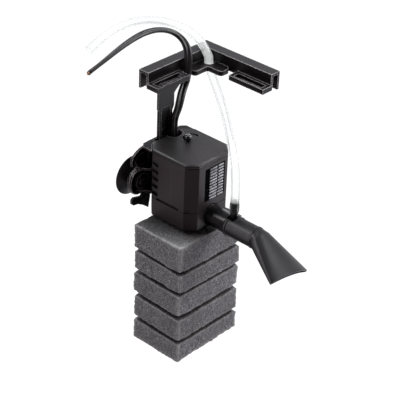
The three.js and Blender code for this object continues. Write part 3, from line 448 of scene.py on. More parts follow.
MATS = {
    "holder": plastic("holder_black", (0.0065, 0.0052, 0.0060), rough=0.34, edge=1.0,
                      edge_wear_highlight_tint=(0.75, 0.72, 0.73), grain_depth=0.03, scuff=0.2,
                      edge_width=1.1, wear_and_highlight_least=0.55, specular=0.28),
    "hanger": plastic("hanger_black", (0.0080, 0.0070, 0.0080), rough=0.38, edge=0.9,
                      edge_wear_highlight_tint=(0.50, 0.48, 0.49), grain_depth=0.025, edge_width=0.8,
                      wear_and_highlight_least=0.45, specular=0.32),
    "bracket": plastic("bracket_black", (0.0045, 0.0037, 0.0042), rough=0.36, edge=0.9,
                       edge_wear_highlight_tint=(0.75, 0.69, 0.70), edge_width=0.8, wear_and_highlight_least=0.5, specular=0.14),
    "housing": plastic("housing_brown_black", **BROWN_BLACK, pattern=left_face, streak=0.12),
    "skirt": plastic("skirt_brown_black", **BROWN_BLACK, reach=10.0),
    "cap": plastic("cap_grey_black", (0.022, 0.0195, 0.021), rough=0.44, edge=1.0,
                   edge_wear_highlight_tint=(0.36, 0.34, 0.35), grain_depth=0.03, edge_width=0.9, wear_and_highlight_least=0.6,
                   pattern=lid_shade, specular=0.44),
    "tube": plastic("outlet_black", (0.0060, 0.0050, 0.0058), rough=0.30, edge=0.4,
                    edge_wear_highlight_tint=(0.13, 0.13, 0.135), grain_depth=0.012, gap=0.04, reach=15.0),
    "fan": plastic("fan_grey", (0.0125, 0.0118, 0.0135), rough=0.36, edge=0.55,
                   edge_wear_highlight_tint=(0.20, 0.20, 0.215), grain=0.35, grain_depth=0.012, scuff=0.08,
                   specular=0.24, edge_width=0.7, pattern=flank),
    "lever": plastic("lever_gloss", (0.005, 0.0045, 0.005), rough=0.10, edge=0.2, scuff=0.04,
                     grain_depth=0.004, coat=1.0),
    "inner": plastic("inner_black", (0.014, 0.013, 0.014), rough=0.5),
    "impeller": plastic("impeller_ivory", (0.62, 0.60, 0.54), rough=0.35, drift=0.06,
                        edge_wear_highlight_tint=(0.8, 0.78, 0.74), edge=0.2),
    "shaft": plastic("shaft_ceramic", (0.78, 0.77, 0.73), rough=0.18, drift=0.04, edge=0.1,
                     edge_wear_highlight_tint=(0.9, 0.9, 0.88), grain_depth=0.003, scuff=0.03),
    "bobbin": plastic("bobbin_nylon", (0.60, 0.57, 0.48), rough=0.45, drift=0.08, edge=0.2,
                      edge_wear_highlight_tint=(0.75, 0.72, 0.65)),
    "rubber": rubber("rubber_black", (0.013, 0.012, 0.013)),
    "cup": rubber("cup_soft_pvc", (0.011, 0.010, 0.011), rough=0.36, sheen=0.08),
    "cable": cable_material(),
    "hose": hose_material(),
    "foam": foam_material(),
    "plate": rib_material(),
    "steel": metal("lamination_steel", (0.42, 0.43, 0.45), rough=0.42,
                   stretch=(0.05, 0.05, 1.6), size=0.5),
    "copper": metal("winding_copper", (0.72, 0.30, 0.12), rough=0.30,
                    stretch=(1.4, 0.05, 0.05), size=0.35),
    "magnet": metal("magnet_ferrite", (0.055, 0.056, 0.062), rough=0.5,
                    stretch=(1, 1, 0.2), size=0.9, metallic=0.4),
    "core_skin": plastic("core_insulation", (0.12, 0.11, 0.11), rough=0.4, edge=0.1),
}


# ------------------------------------------------------------------ carried-over CAD nodes
SHARP_ANGLE = 38            # degrees between faces from which an edge stays sharp


def smooth_group():
    """Geometry nodes that smooth faces and keep edges over SHARP_ANGLE sharp."""
    group = bpy.data.node_groups.new("smooth_by_angle", "GeometryNodeTree")
    for side in ("INPUT", "OUTPUT"):
        group.interface.new_socket("Geometry", in_out=side, socket_type="NodeSocketGeometry")
    new, link = group.nodes.new, group.links.new
    group_in, group_out = new("NodeGroupInput"), new("NodeGroupOutput")
    face, edge = new("GeometryNodeSetShadeSmooth"), new("GeometryNodeSetShadeSmooth")
    face.domain = "FACE"
    edge.domain = "EDGE"
    face.inputs["Shade Smooth"].default_value = True
    edge.inputs["Shade Smooth"].default_value = False
    angle = new("GeometryNodeInputMeshEdgeAngle")
    sharp = new("FunctionNodeCompare")
    sharp.data_type = "FLOAT"
    sharp.operation = "GREATER_THAN"
    sharp.inputs[1].default_value = math.radians(SHARP_ANGLE)
    link(group_in.outputs[0], face.inputs[0])
    link(face.outputs[0], edge.inputs[0])
    link(edge.outputs[0], group_out.inputs[0])
    link(angle.outputs[0], sharp.inputs[0])
    link(sharp.outputs[0], edge.inputs["Selection"])
    return group


SMOOTH = smooth_group()


def smooth_by_angle(obj):
    obj.modifiers.new("smooth", "NODES").node_group = SMOOTH


def dress(name, mat, bevel, segments=2, clamp=False):
    """Gives a CAD node rounded edges and its material; its own mesh stays as it is."""
    obj = NODES[name]
    mesh = obj.data
    mesh.materials.clear()
    mesh.materials.append(MATS[mat])
    mesh.polygons.foreach_set("material_index", [0] * len(mesh.polygons))
    if "custom_normal" in mesh.attributes:
        mesh.attributes.remove(mesh.attributes["custom_normal"])
    obj.modifiers.new("weld", "WELD").merge_threshold = 2e-6
    flat = obj.modifiers.new("flat", "DECIMATE")
    flat.decimate_type = "DISSOLVE"
    flat.angle_limit = math.radians(1.2)
    if bevel:
        edge = obj.modifiers.new("round", "BEVEL")
        edge.width = bevel * MM
        edge.segments = segments
        edge.limit_method = "ANGLE"
        edge.angle_limit = math.radians(32)
        edge.use_clamp_overlap = clamp
        edge.miter_outer = "MITER_ARC"
        edge.profile = 0.5
    smooth_by_angle(obj)
    normals = obj.modifiers.new("normals", "WEIGHTED_NORMAL")
    normals.keep_sharp = True
    normals.weight = 60


# CAD node, material, bevel width; where they differ, also bevel segments and overlap clamp
DRESSED = [
    ("corner_holder", "holder", 0.36, 3, True), ("hanger", "hanger", 0.28),
    ("suction_bracket", "bracket", 0.25), ("top_cap", "cap", 0.22),
    ("motor_housing", "housing", 0.22), ("lower_housing", "skirt", 0.25),
    ("front_plate", "plate", 0.10), ("impeller_cover", "inner", 0.15),
    ("impeller_shaft", "shaft", 0.15), ("shaft_bush_lower", "rubber", 0.15),
    ("shaft_bush_upper", "rubber", 0.2), ("chamber_seal", "rubber", 0),
    ("rotor_magnet", "magnet", 0.3), ("impeller", "impeller", 0.15),
    ("stator_core", "steel", 0.15), ("coil_bobbin", "bobbin", 0.2),
    ("coil_winding", "copper", 0.5, 3), ("flow_lever", "lever", 0.12),
    ("flow_spindle", "inner", 0.12), ("outlet_tube", "tube", 0.2),
    ("nozzle_seal", "rubber", 0), ("fan_nozzle", "fan", 0.2),
    ("intake_strainer", "inner", 0.25), ("cable_grommet", "rubber", 0.2),
    ("suction_cup_left", "cup", 0.2), ("suction_cup_right", "cup", 0.2),
    ("power_cable", "cable", 0), ("air_hose", "hose", 0), ("filter_foam", "foam", 0.5),
]
for row in DRESSED:
    dress(*row)


# ------------------------------------------------------------------ mesh helpers
def make(name, verts, faces, mat):
    """A smooth mesh object from points in millimetres, its faces turned outward."""
    mesh = bpy.data.meshes.new(name)
    mesh.from_pydata([tuple(v) for v in np.asarray(verts, float) * MM], [],
                     [tuple(int(i) for i in face) for face in faces])
    mesh.update()
    mesh.materials.append(MATS[mat])
    obj = add_object(name, mesh)
    mesh.polygons.foreach_set("use_smooth", [True] * len(mesh.polygons))
    bm = bmesh.new()
    bm.from_mesh(mesh)
    bmesh.ops.recalc_face_normals(bm, faces=bm.faces)
    bm.to_mesh(mesh)
    bm.free()
    return obj


def stand_in(node):
    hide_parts(node)


def blend_to_pump(obj):
    """Bakes the piece's placement into its mesh."""
    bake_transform(obj)


def arc_length(path):
    steps = np.linalg.norm(np.diff(path, axis=0), axis=1)
    return np.concatenate([[0], np.cumsum(steps)])


def spline(points, step):
    """Centripetal Catmull-Rom curve through the points, resampled at even steps."""
    knots = [np.array(p, float) for p in points]
    knots = [2 * knots[0] - knots[1], *knots, 2 * knots[-1] - knots[-2]]
    curve = []
    for k in range(1, len(knots) - 2):
        before, start, end, after = knots[k - 1:k + 3]
        d0, d1, d2 = (max(np.linalg.norm(b - a) ** 0.5, 1e-4)
                      for a, b in ((before, start), (start, end), (end, after)))
        leave = ((start - before) / d0 - (end - before) / (d0 + d1) + (end - start) / d1) * d1
        arrive = ((end - start) / d1 - (after - start) / (d1 + d2) + (after - end) / d2) * d1
        for s in np.linspace(0, 1, 40, endpoint=False):
            curve.append((2 * s**3 - 3 * s**2 + 1) * start + (s**3 - 2 * s**2 + s) * leave
                         + (-2 * s**3 + 3 * s**2) * end + (s**3 - s**2) * arrive)
    curve.append(knots[-2])
    curve = np.array(curve)
    arc = arc_length(curve)
    even = np.linspace(0, arc[-1], max(8, int(arc[-1] / step)) + 1)
    return np.stack([np.interp(even, arc, curve[:, i]) for i in range(3)], 1)


def soften(values):
    values[1:-1] = 0.5 * values[1:-1] + 0.25 * (values[:-2] + values[2:])


def relax(path, rounds, fixed):
    """Evens out the bends of a path; points where fixed is true stay."""
    relaxed = path.copy()
    for _ in range(rounds):
        soften(relaxed)
        relaxed[fixed] = path[fixed]
    return relaxed


def tangents(path):
    along = np.gradient(path, axis=0)
    return along / np.linalg.norm(along, axis=1)[:, None]


def sweep(path, start_normal, ring):
    """Rings of points along a path, without twist. ring(i) gives the 2-D outline at point i."""
    along = tangents(path)
    normal = np.array(start_normal, float)
    rows = []
    for i, tangent in enumerate(along):
        normal = normal - tangent * (normal @ tangent)
        normal /= np.linalg.norm(normal)
        outline = ring(i)
        rows.append(path[i] + outline[:, :1] * normal
                    + outline[:, 1:] * np.cross(tangent, normal))
    return np.array(rows)


def strip(base, rows, count):
    """Quads between successive closed rings of count points, the first starting at base."""
    faces = []
    for i in range(rows - 1):
        for j in range(count):
            a, b = base + i * count + j, base + i * count + (j + 1) % count
            faces.append((a, b, b + count, a + count))
    return faces


def lathe(profile, segments):
    """Outline of (radius, height) turned about z; points on the axis become one vertex."""
    verts, faces, rings = [], [], []
    for radius, height in profile:
        if radius < 1e-6:
            rings.append([len(verts)] * segments)
            verts.append((0, 0, height))
        else:
            rings.append(list(range(len(verts), len(verts) + segments)))
            for k in range(segments):
                angle = 2 * math.pi * k / segments
                verts.append((radius * math.cos(angle), radius * math.sin(angle), height))
    for lower, upper in zip(rings, rings[1:]):
        for k in range(segments):
            after = (k + 1) % segments
            # dict keys drop the doubled vertex where a ring is a single point
            face = list(dict.fromkeys([lower[k], lower[after], upper[after], upper[k]]))
            if len(face) > 2:
                faces.append(face)
    return np.array(verts, float), faces


def rounded(points, radius, steps):
    """Rounds the corners of a closed 2-D outline by up to radius."""
    corners = [np.array(p, float) for p in points]
    outline = []
    for i, corner in enumerate(corners):
        back, ahead = corners[i - 1] - corner, corners[(i + 1) % len(corners)] - corner
        back_length, ahead_length = np.linalg.norm(back), np.linalg.norm(ahead)
        cut = min(radius, back_length * 0.45, ahead_length * 0.45)
        start, end = corner + back / back_length * cut, corner + ahead / ahead_length * cut
        for k in range(steps + 1):
            t = k / steps
            outline.append((1 - t) ** 2 * start + 2 * t * (1 - t) * corner + t**2 * end)
    return np.array(outline)


# ------------------------------------------------------------------ noise on arrays of points
LATTICE = np.random.default_rng(11).random((32, 32, 32))


def value_noise(points, size, shift=0.0):
    """Smooth value noise from -1 to 1 with features of about size."""
    scaled = points / size + shift
    cell = np.floor(scaled).astype(int)
    part = scaled - cell
    part = part * part * (3 - 2 * part)
    total = 0
    for corner in np.ndindex(2, 2, 2):
        weight = np.prod(np.where(corner, part, 1 - part), axis=1)
        total = total + weight * LATTICE[tuple(((cell + corner) % 32).T)]
    return total * 2 - 1


def cell_distance(points, size):
    """Distance to the nearest scattered cell centre, in cell sizes."""
    scatter = np.random.default_rng(5).random((29, 31, 37, 3))
    scaled = points / size
    home = np.floor(scaled).astype(int)
    nearest = np.full(len(points), 9.0)
    for step in np.ndindex(3, 3, 3):
        cell = home + step - 1
        jitter = scatter[tuple((cell % (29, 31, 37)).T)]
        away = np.linalg.norm(cell + 0.15 + 0.7 * jitter - scaled, axis=1)
        nearest = np.minimum(nearest, away)
    return nearest


# ------------------------------------------------------------------ foam block
# centre height and width of each groove, its fall along x and its rise along y in degrees
GROOVES = [(-125.0, 1.8, 1.66, 1.87), (-143.45, 2.4, 1.66, 0.49),
           (-163.45, 2.8, 0.68, 1.87), (-185.4, 3.0, 1.4, 1.24)]
GROOVE_REACH = 5.0          # how far above and below a groove the foam moves
BORE_RADIUS = 11.5          # around the pump's axis, where the surface is calmer


def foam_mesh(obj):
    """Welds and remeshes the block into small even faces."""
    bm = bmesh.new()
    bm.from_mesh(obj.data)
    bmesh.ops.remove_doubles(bm, verts=bm.verts, dist=2e-6)
    bm.to_mesh(obj.data)
    bm.free()
    remesh = obj.modifiers.new("cells", "REMESH")
    remesh.mode = "VOXEL"
    remesh.voxel_size = 0.6 * MM
    remesh.use_smooth_shade = True
    depsgraph = bpy.context.evaluated_depsgraph_get()
    mesh = bpy.data.meshes.new_from_object(obj.evaluated_get(depsgraph))
    obj.modifiers.clear()
    obj.data = mesh
    return mesh


def read_vectors(mesh, key):
    values = np.empty(len(mesh.vertices) * 3)
    mesh.vertices.foreach_get(key, values)
    return values.reshape(-1, 3)


def foam():
    lo, hi = bounds_mm("filter_foam")
    obj = add_object("foam_block", NODES["filter_foam"].data.copy())
    mesh = foam_mesh(obj)
    points = read_vectors(mesh, "co") * 1000
    normals = read_vectors(mesh, "normal")
    from_x, from_y = np.minimum(points - lo, hi - points)[:, :2].T
    side = np.minimum(from_x, from_y)       # depth behind the nearest side face
    corner = np.maximum(from_x, from_y)     # distance to the nearest upright edge, on a side

    # the grooves gape towards the side faces, most at the upright edges
    near = np.full(len(points), 99.0)
    layer = np.zeros(len(points), int)
    for k, (height, width, fall, rise) in enumerate(GROOVES):
        tilt = (-math.tan(math.radians(fall)) * (points[:, 0] - (lo[0] + hi[0]) / 2)
                + math.tan(math.radians(rise)) * (points[:, 1] - AXIS_Y))
        above = points[:, 2] - (height + tilt)
        layer += above < 0
        beyond = np.abs(above) - width / 2
        near = np.minimum(near, np.abs(beyond))
        depth = np.clip(1 - side / 4.4, 0, 1) ** 1.6
        at_corner = np.clip(1 - corner / 9.0, 0, 1) ** 1.5
        wave = 0.5 + 0.5 * value_noise(points * (1, 1, 0.2), 5.0, k * 3.7)
        gape = depth * (0.25 + 0.45 * wave + 0.85 * at_corner)
        reach = np.clip(1 - beyond / GROOVE_REACH, 0, 1) ** 1.4
        points[:, 2] += np.where(np.abs(above) < width / 2 + GROOVE_REACH,
                                 np.sign(above) * gape * reach, 0)

    # each layer below the first sits a little differently
    offsets = np.random.default_rng(21).uniform(-0.35, 0.35, (6, 2))
    offsets[0] = (0.0, 0.0)
    points[:, :2] += offsets[layer] * np.clip(1 - side / 6, 0, 1)[:, None]

    # cut-face waviness, cell pits and ragged edges
    from_z = np.minimum(points[:, 2] - lo[2], hi[2] - points[:, 2])
    from_edge = np.sort(np.stack([np.abs(from_x), np.abs(from_y), from_z], 1), 1)[:, 1]
    edge = np.exp(-np.clip(from_edge - 0.3, 0, None) / 1.1)
    edge = np.maximum(edge, np.exp(-near / 0.7) * (side < 1.2) * 0.7)
    relief = (0.30 * value_noise(points, 13.0) + 0.22 * value_noise(points, 4.5, 2.3)
              + 0.20 * value_noise(points, 1.7, 7.1))
    pit = np.clip(1 - cell_distance(points, 1.7) / 0.55, 0, 1)
    relief -= 0.55 * pit ** 1.2
    relief += 0.30 * edge * value_noise(points, 1.3, 4.4)
    relief[np.hypot(points[:, 0] - AXIS_X, points[:, 1] - AXIS_Y) < BORE_RADIUS] *= 0.25
    points += normals * np.clip(relief, -1.1, 0.55)[:, None]

    mesh.vertices.foreach_set("co", (points * MM).astype(np.float32).ravel())
    attribute = mesh.attributes.new("edge", "FLOAT", "POINT")
    attribute.data.foreach_set("value", np.clip(edge, 0, 1).astype(np.float32))
    mesh.update()
    mesh.materials.clear()
    mesh.materials.append(MATS["foam"])
    mesh.polygons.foreach_set("use_smooth", [True] * len(mesh.polygons))
    stand_in("filter_foam")
    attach(obj, "foam")


foam()


# ------------------------------------------------------------------ power cable
# x, y, z of the centre line and how far the wide side is turned there, in degrees
CABLE = [
    (-52.3, -18.8, -57, 48.6), (-52.3, -18.8, -52, 48.6), (-52.3, -18.7, -45, 48.6),
    (-52.2, -18.4, -40.5, 48), (-51.9, -18.1, -36, 48), (-51.3, -18.5, -31.3, 46),
    (-48, -17.8, -26.6, 34), (-44.5, -16.1, -22.6, 12), (-40.3, -13.7, -19, -4),
    (-36, -11.6, -16, -12), (-32.4, -10.3, -12.4, -20), (-30.9, -9.8, -7.6, -20),
    (-29.4, -9.1, -2.2, -12), (-28, -7.7, 2.7, 0), (-26.3, -5.6, 7.2, 18),
    (-25.3, -2, 11.3, 44), (-26, 2.1, 14.7, 62), (-28.6, 5.7, 17.7, 65),
    (-32.8, 7.9, 20, 62), (-37.8, 8.8, 21.8, 60), (-42.9, 8.8, 23.4, 58),
    (-49.9, 8.3, 25, 53), (-58.8, 8, 25.7, 50), (-69.5, 8, 24.4, 55),
    (-82.7, 7.8, 21.4, 66), (-95.7, 7.6, 17.5, 78), (-110.3, 8, 12.9, 86),
]
LOBE_RADIUS = 1.5
LOBE_OFFSET = 1.5           # from the cable's centre to the centre of each lobe
# part, radius, how far it sticks out, material, slot
CORE_PARTS = [("core_skin", 0.95, 0.25, "core_skin", "cable_sheath"),
              ("core_wire", 0.55, 0.9, "copper", "winding_copper")]


def core_end(name, centre, axes, radius, out_by, mat):
    """Short rod at the cut end; axes are its two cross directions and its length."""
    profile = [(0, -1.0), (radius, -1.0), (radius, out_by - 0.08),
               (radius - 0.08, out_by), (0, out_by)]
    verts, faces = lathe(profile, segments=20)
    return make(name, centre + verts @ np.array(axes), faces, mat)


def cable():
    """Flat twin cable with a figure-eight section."""
    path = spline([station[:3] for station in CABLE], step=0.9)
    count = len(path)
    nearest = [int(np.argmin(np.linalg.norm(path - np.array(station[:3]), axis=1)))
               for station in CABLE]
    turn = np.interp(np.arange(count), nearest, [station[3] for station in CABLE])
    path = relax(path, rounds=40, fixed=(path[:, 2] < -5) & (path[:, 0] > -53))
    for _ in range(60):
        soften(turn)
    turn = np.radians(turn)[:, None]

    # the turn is measured from the direction square to the path and to this one
    view = np.array([-0.64, -0.56, 0.53])
    view /= np.linalg.norm(view)
    along = tangents(path)
    square = np.cross(along, view)
    square /= np.linalg.norm(square, axis=1)[:, None]
    wide = np.cos(turn) * square + np.sin(turn) * np.cross(along, square)
    thin = np.cross(along, wide)

    limit = math.radians(146)
    angle = np.linspace(-limit, limit, 19)
    lobe = np.stack([LOBE_OFFSET + LOBE_RADIUS * np.cos(angle), LOBE_RADIUS * np.sin(angle)], 1)
    outline = np.concatenate([lobe, -lobe])
    size = len(outline)
    verts = (path[:, None, :] + outline[None, :, :1] * wide[:, None, :]
             + outline[None, :, 1:] * thin[:, None, :]).reshape(-1, 3)
    faces = strip(0, count, size)
    hub = len(verts)
    last = (count - 1) * size
    verts = np.concatenate([verts, [path[0]], [path[-1]]])
    faces += [(hub, (j + 1) % size, j) for j in range(size)]
    faces += [(hub + 1, last + j, last + (j + 1) % size) for j in range(size)]
    obj = make("cable_flex", verts, faces, "cable")

    # the two cores show at the cut end
    for side, letter in ((-1, "a"), (1, "b")):
        centre = path[-1] + wide[-1] * side * LOBE_OFFSET
        for part, radius, out_by, mat, slot in CORE_PARTS:
            end = core_end(f"cable_{part}_{letter}", centre, (wide[-1], thin[-1], along[-1]),
                           radius, out_by, mat)
            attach(end, "holder")
    stand_in("power_cable")
    blend_to_pump(obj)


cable()


# ------------------------------------------------------------------ air hose
# x, y, z of the centre line, from the lower end up
HOSE = [
    (-57.7, -82.9, -79.9), (-57.7, -82.9, -73), (-57.7, -82.9, -66), (-57.4, -82.4, -55),
    (-51.6, -76, -44.6), (-37.2, -57.6, -36.4), (-21.4, -38, -30.6), (-10.8, -19.8, -20.8),
    (-8.2, -11.1, -12.2), (-8.3, -10.2, -8.2), (-8.3, -9.7, -4.2), (-8.2, -8.9, 2),
    (-8.6, -6.3, 7.6), (-9.6, -1.2, 11.4), (-13.2, 4.6, 14.9), (-24, 10, 21.8),
    (-41.3, 12, 29.8), (-60, 12, 35), (-74.6, 12, 36.4), (-92.4, 12, 34.1), (-106.4, 12, 27),
]
HOSE_OUTER, HOSE_INNER = 3.2, 2.5   # radii
HOSE_SIDES = 28


def hose():
    """Open tube with a wall, swollen over its lower end."""
    path = spline(HOSE, step=1.0)
    arc = arc_length(path)
    upright = (path[:, 2] > -13) & (path[:, 2] < -2)
    path = relax(path, rounds=260, fixed=(arc < 12) | upright)
    count, sides = len(path), HOSE_SIDES
    angle = np.linspace(0, 2 * math.pi, sides, endpoint=False)
    circle = np.stack([np.cos(angle), np.sin(angle)], 1)
    swell = 0.28 * np.minimum(1, np.clip(1 - arc / 8.0, 0, 1) * 3)
    swell -= 0.05 * np.clip(1 - arc / 0.8, 0, 1)
    outer_radius = HOSE_OUTER + swell
    outer_radius[[0, -1]] -= 0.12
    inner_radius = HOSE_INNER + swell * 0.8
    walls = [sweep(path, (0, -1, 0), lambda i: circle * radius[i])
             for radius in (outer_radius, inner_radius)]
    verts = np.concatenate(walls).reshape(-1, 3)
    inside = count * sides
    faces = strip(0, count, sides)
    faces += [tuple(reversed(face)) for face in strip(inside, count, sides)]
    last = (count - 1) * sides
    for j in range(sides):
        k = (j + 1) % sides
        faces.append((j, k, inside + k, inside + j))
        faces.append((last + k, last + j, inside + last + j, inside + last + k))
    obj = make("hose_clear", verts, faces, "hose")
    grip = np.repeat(np.clip((9.2 - arc) / 1.2, 0, 1), sides)
    attribute = obj.data.attributes.new("grip", "FLOAT", "POINT")
    attribute.data.foreach_set("value", np.tile(grip, 2).astype(np.float32))
    stand_in("air_hose")
    blend_to_pump(obj)


hose()


# ------------------------------------------------------------------ suction cups
NECK_FRONT, NECK_REAR = -13.1, -11.3    # y of the two ends of the narrow neck


def cup(name):
    """Cup opening to the rear, with a neck and a button in front of it."""
    lo, hi = bounds_mm(name)
    rim, front, rear = hi[1], NECK_FRONT, NECK_REAR
    profile = [     # radius, y: hollow, lip, back of the cup, neck, button
        (0, rim - 3.0), (4.5, rim - 2.9), (8.5, rim - 2.2), (11.5, rim - 1.1),
        (14.0, rim - 0.15), (14.7, rim), (15.15, rim - 0.18), (15.1, rim - 0.55),
        (13.5, rim - 1.25), (10.6, rim - 2.6), (8.4, rim - 4.1), (6.4, rim - 5.3),
        (5.0, rim - 6.2), (4.6, rim - 7.0), (4.45, rear + 0.35), (4.3, rear + 0.3),
        (2.95, rear + 0.3), (2.9, rear + 0.2), (2.9, front - 0.2), (2.95, front - 0.3),
        (3.6, front - 0.3), (3.75, front - 0.45), (3.75, front - 1.3), (3.5, front - 1.9),
        (2.9, front - 2.35), (1.9, front - 2.55), (0, front - 2.6)]
    verts, faces = lathe(profile, segments=72)
    centre = ((lo[0] + hi[0]) / 2, 0, (lo[2] + hi[2]) / 2)
    obj = make(name + "_soft", verts[:, [0, 2, 1]] + centre, faces, "cup")
    smooth_by_angle(obj)
    stand_in(name)
    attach(obj, "pump")


cup("suction_cup_left")
cup("suction_cup_right")


# ------------------------------------------------------------------ fan nozzle
TUBE_Z = -91.7
SWIVEL = 12.0                       # degrees about the tube's axis
SLEEVE_RADIUS, BORE = 7.95, 6.15    # outer and inner radius of the sleeve
MOUTH_WIDTH, MOUTH_HEIGHT = 41.0, 3.4
FAN_WALL = 1.1
FAN_LEAN = 3.1                      # sideways drift from root to mouth
FAN_ROOT_Y, FAN_LENGTH = -104.6, 31.6
RIM_Y, NOTCH_Y = -79.9, -86.3       # rear rim of the sleeve, and in the notch at its top
# distance in front of the rim, radius over the sleeve's
SLEEVE_LIP = [(0.0, 0.15), (0.12, 0.40), (0.4, 0.5), (1.0, 0.5), (1.45, 0.48),
              (1.62, 0.1), (1.8, -0.12), (2.0, -0.02), (2.3, 0.0)]
# y, radius over the sleeve's
COLLAR = [(-102.85, 0.02), (-102.95, 0.25), (-103.1, 0.34), (-103.9, 0.34),
          (-104.2, 0.28), (-104.4, 0.12)]
# share of the fan's length, share of its full tilt
TILT_AT, TILT_SHARE = [0, .1, .22, .38, .65, 1.0], [.2, .55, .85, 1, 1, 1.0]


def fan_angles():
    """Degrees round the sleeve: even steps, denser at the notch's sides and at the top seam."""
    even = np.linspace(0, 360, 132, endpoint=False)
    notch = [90 + side * (45 - d) for side in (-1, 1) for d in (-1.2, -0.5, 0.2, 0.9)]
    seam = [90 + d for d in (-6, -4.8, -4, -3.2, -2.2, -1.2, 0, 1.2, 2.2, 3.2, 4, 4.8, 6)]
    degrees = np.unique(np.round(np.concatenate([even, notch, seam]), 3))
    return degrees[np.concatenate([[True], np.diff(degrees) > 0.25])]


def fan_section(t, inset, cos, sin):
    """Flattening outline at share t of the fan's length, inset from the outside."""
    y = FAN_ROOT_Y - FAN_LENGTH * t
    z = -0.35 * (t / 0.1) ** 1.5 if t < 0.1 else -0.35 - 15.6 * (t - 0.1) / 0.9
    share = min(t, 1)
    tilt = math.radians(27) * (0.35 * np.interp(share, TILT_AT, TILT_SHARE)
                               + 0.65 * (1 - 0.8 * np.exp(-((share / 0.17) ** 1.25))))
    half_width = SLEEVE_RADIUS + (MOUTH_WIDTH / 2 - SLEEVE_RADIUS) * t ** 0.92 - inset
    half_height = SLEEVE_RADIUS + (MOUTH_HEIGHT / 2 - SLEEVE_RADIUS) * t ** 0.62 - inset
    power = 2 / (2 + 2.6 * t)       # from round to nearly rectangular
    x = half_width * np.sign(cos) * np.abs(cos) ** power
    arch = 3.8 * t * (1 - (x / half_width) ** 2) - 1.5 * t
    up = half_height * np.sign(sin) * np.abs(sin) ** power + arch
    return np.stack([x + FAN_LEAN * t, y - up * math.sin(tilt), z + up * math.cos(tilt)], 1)


def fan():
    degrees = fan_angles()
    cos, sin = np.cos(np.radians(degrees)), np.sin(np.radians(degrees))
    size = len(degrees)
    from_top = np.abs((degrees - 90 + 180) % 360 - 180)
    ease = np.clip((from_top - 44.1) / 2.1, 0, 1)
    rim = NOTCH_Y + (RIM_Y - NOTCH_Y) * (ease * ease * (3 - 2 * ease))
    groove = np.clip(1 - (from_top / 3.4) ** 4, 0, 1)
    slot = np.clip(1 - (from_top / 5.5) ** 6, 0, 1)
    rows = []

    def ring(y, radius):
        rows.append(np.stack([radius * cos, np.broadcast_to(y, (size,)), radius * sin], 1))

    def sections(shares, inset):
        rows.extend(fan_section(t, inset, cos, sin) for t in shares)

    # outside, from the sleeve's rim to the mouth
    for forward, over in SLEEVE_LIP:
        ring(rim - forward, SLEEVE_RADIUS + over)
    for y in np.concatenate([np.linspace(-88.9, -98.4, 14), np.linspace(-98.7, -102.6, 10)]):
        slot_depth = 0.6 * np.clip((-98.5 - y) / 0.5, 0, 1) * np.clip((y + 103.0) / 0.5, 0, 1)
        ring(y, SLEEVE_RADIUS - 0.30 * groove - slot_depth * slot)
    for y, over in COLLAR:
        ring(y, SLEEVE_RADIUS + over)
    sections([0.0, *np.linspace(0.012, 0.2, 16), *np.linspace(0.22, 0.97, 34)], inset=0.0)
    # rounded lip of the mouth
    for t, inset in ((0.992, 0.02), (1.0, 0.14), (1.003, 0.40), (1.0, FAN_WALL - 0.18),
                     (0.99, FAN_WALL)):
        sections([t], inset)
    # inside, back to the rim
    sections([*np.linspace(0.95, 0.2, 24), *np.linspace(0.19, 0.0, 12)], inset=FAN_WALL)
    ring(-103.6, SLEEVE_RADIUS - FAN_WALL)
    for y in (-103.4, -100, -96, -92, -89):
        ring(y, BORE)
    for forward, over in ((0.9, 0.0), (0.2, 0.05), (0.02, 0.25)):
        ring(rim - forward, BORE + over)
    ring(rim, SLEEVE_RADIUS - 0.2)

    count = len(rows)
    x, y, z = np.array(rows).reshape(-1, 3).T
    swivel = math.radians(SWIVEL)
    verts = np.stack([AXIS_X + x * math.cos(swivel) + z * math.sin(swivel), y,
                      TUBE_Z - x * math.sin(swivel) + z * math.cos(swivel)], 1)
    faces = strip(0, count, size)
    last = (count - 1) * size
    for j in range(size):
        k = (j + 1) % size
        faces.append((last + j, last + k, k, j))
    obj = make("fan_shell", verts, faces, "fan")
    smooth_by_angle(obj)
    stand_in("fan_nozzle")
    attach(obj, "nozzle")


fan()


# ------------------------------------------------------------------ grille on the front plate
GRILLE_Y = -62.1
SLAT_COUNT, SLAT_TOP, SLAT_PITCH = 11, -53.5, 2.37
SLAT_SPANS = [(-3.4, 4.3), (5.1, 10.9)]     # left and right column, from the pump's axis


def board(x_left, x_right, profile):
    """Outline in y, z pushed along x, with slightly shrunk, rounded ends."""
    outline = rounded(profile, radius=0.22, steps=3)
    size = len(outline)
    centre = outline.mean(0)
    stations = [(x_left, 0.55), (x_left + 0.08, 0.85), (x_left + 0.25, 1.0),
                (x_right - 0.25, 1.0), (x_right - 0.08, 0.85), (x_right, 0.55)]
    verts = [(x, *(centre + (point - centre) * scale))
             for x, scale in stations for point in outline]
    last = (len(stations) - 1) * size
    faces = strip(0, len(stations), size)
    faces += [tuple(range(size)), tuple(reversed(range(last, last + size)))]
    return verts, faces


def grille():
    """Flat backing board and two columns of slanted slats."""
    lo, hi = bounds_mm("front_plate")
    front = GRILLE_Y + 0.78
    boards = [board(lo[0], hi[0], [(hi[1], lo[2]), (hi[1], hi[2]), (front, hi[2]),
                                   (front, lo[2])])]
    rear, front = GRILLE_Y + 0.95, GRILLE_Y - 0.1
    for k in range(SLAT_COUNT):
        z = SLAT_TOP - SLAT_PITCH * k
        slat = [(rear, z + 0.78), (rear, z - 0.18), (front, z - 0.80), (front, z + 0.02)]
        boards += [board(AXIS_X + left, AXIS_X + right, slat) for left, right in SLAT_SPANS]
    verts, faces = [], []
    for board_verts, board_faces in boards:
        faces += [tuple(i + len(verts) for i in face) for face in board_faces]
        verts += board_verts
    obj = make("grille_slats", verts, faces, "plate")
    smooth_by_angle(obj)
    stand_in("front_plate")
    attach(obj, "pump")


grille()


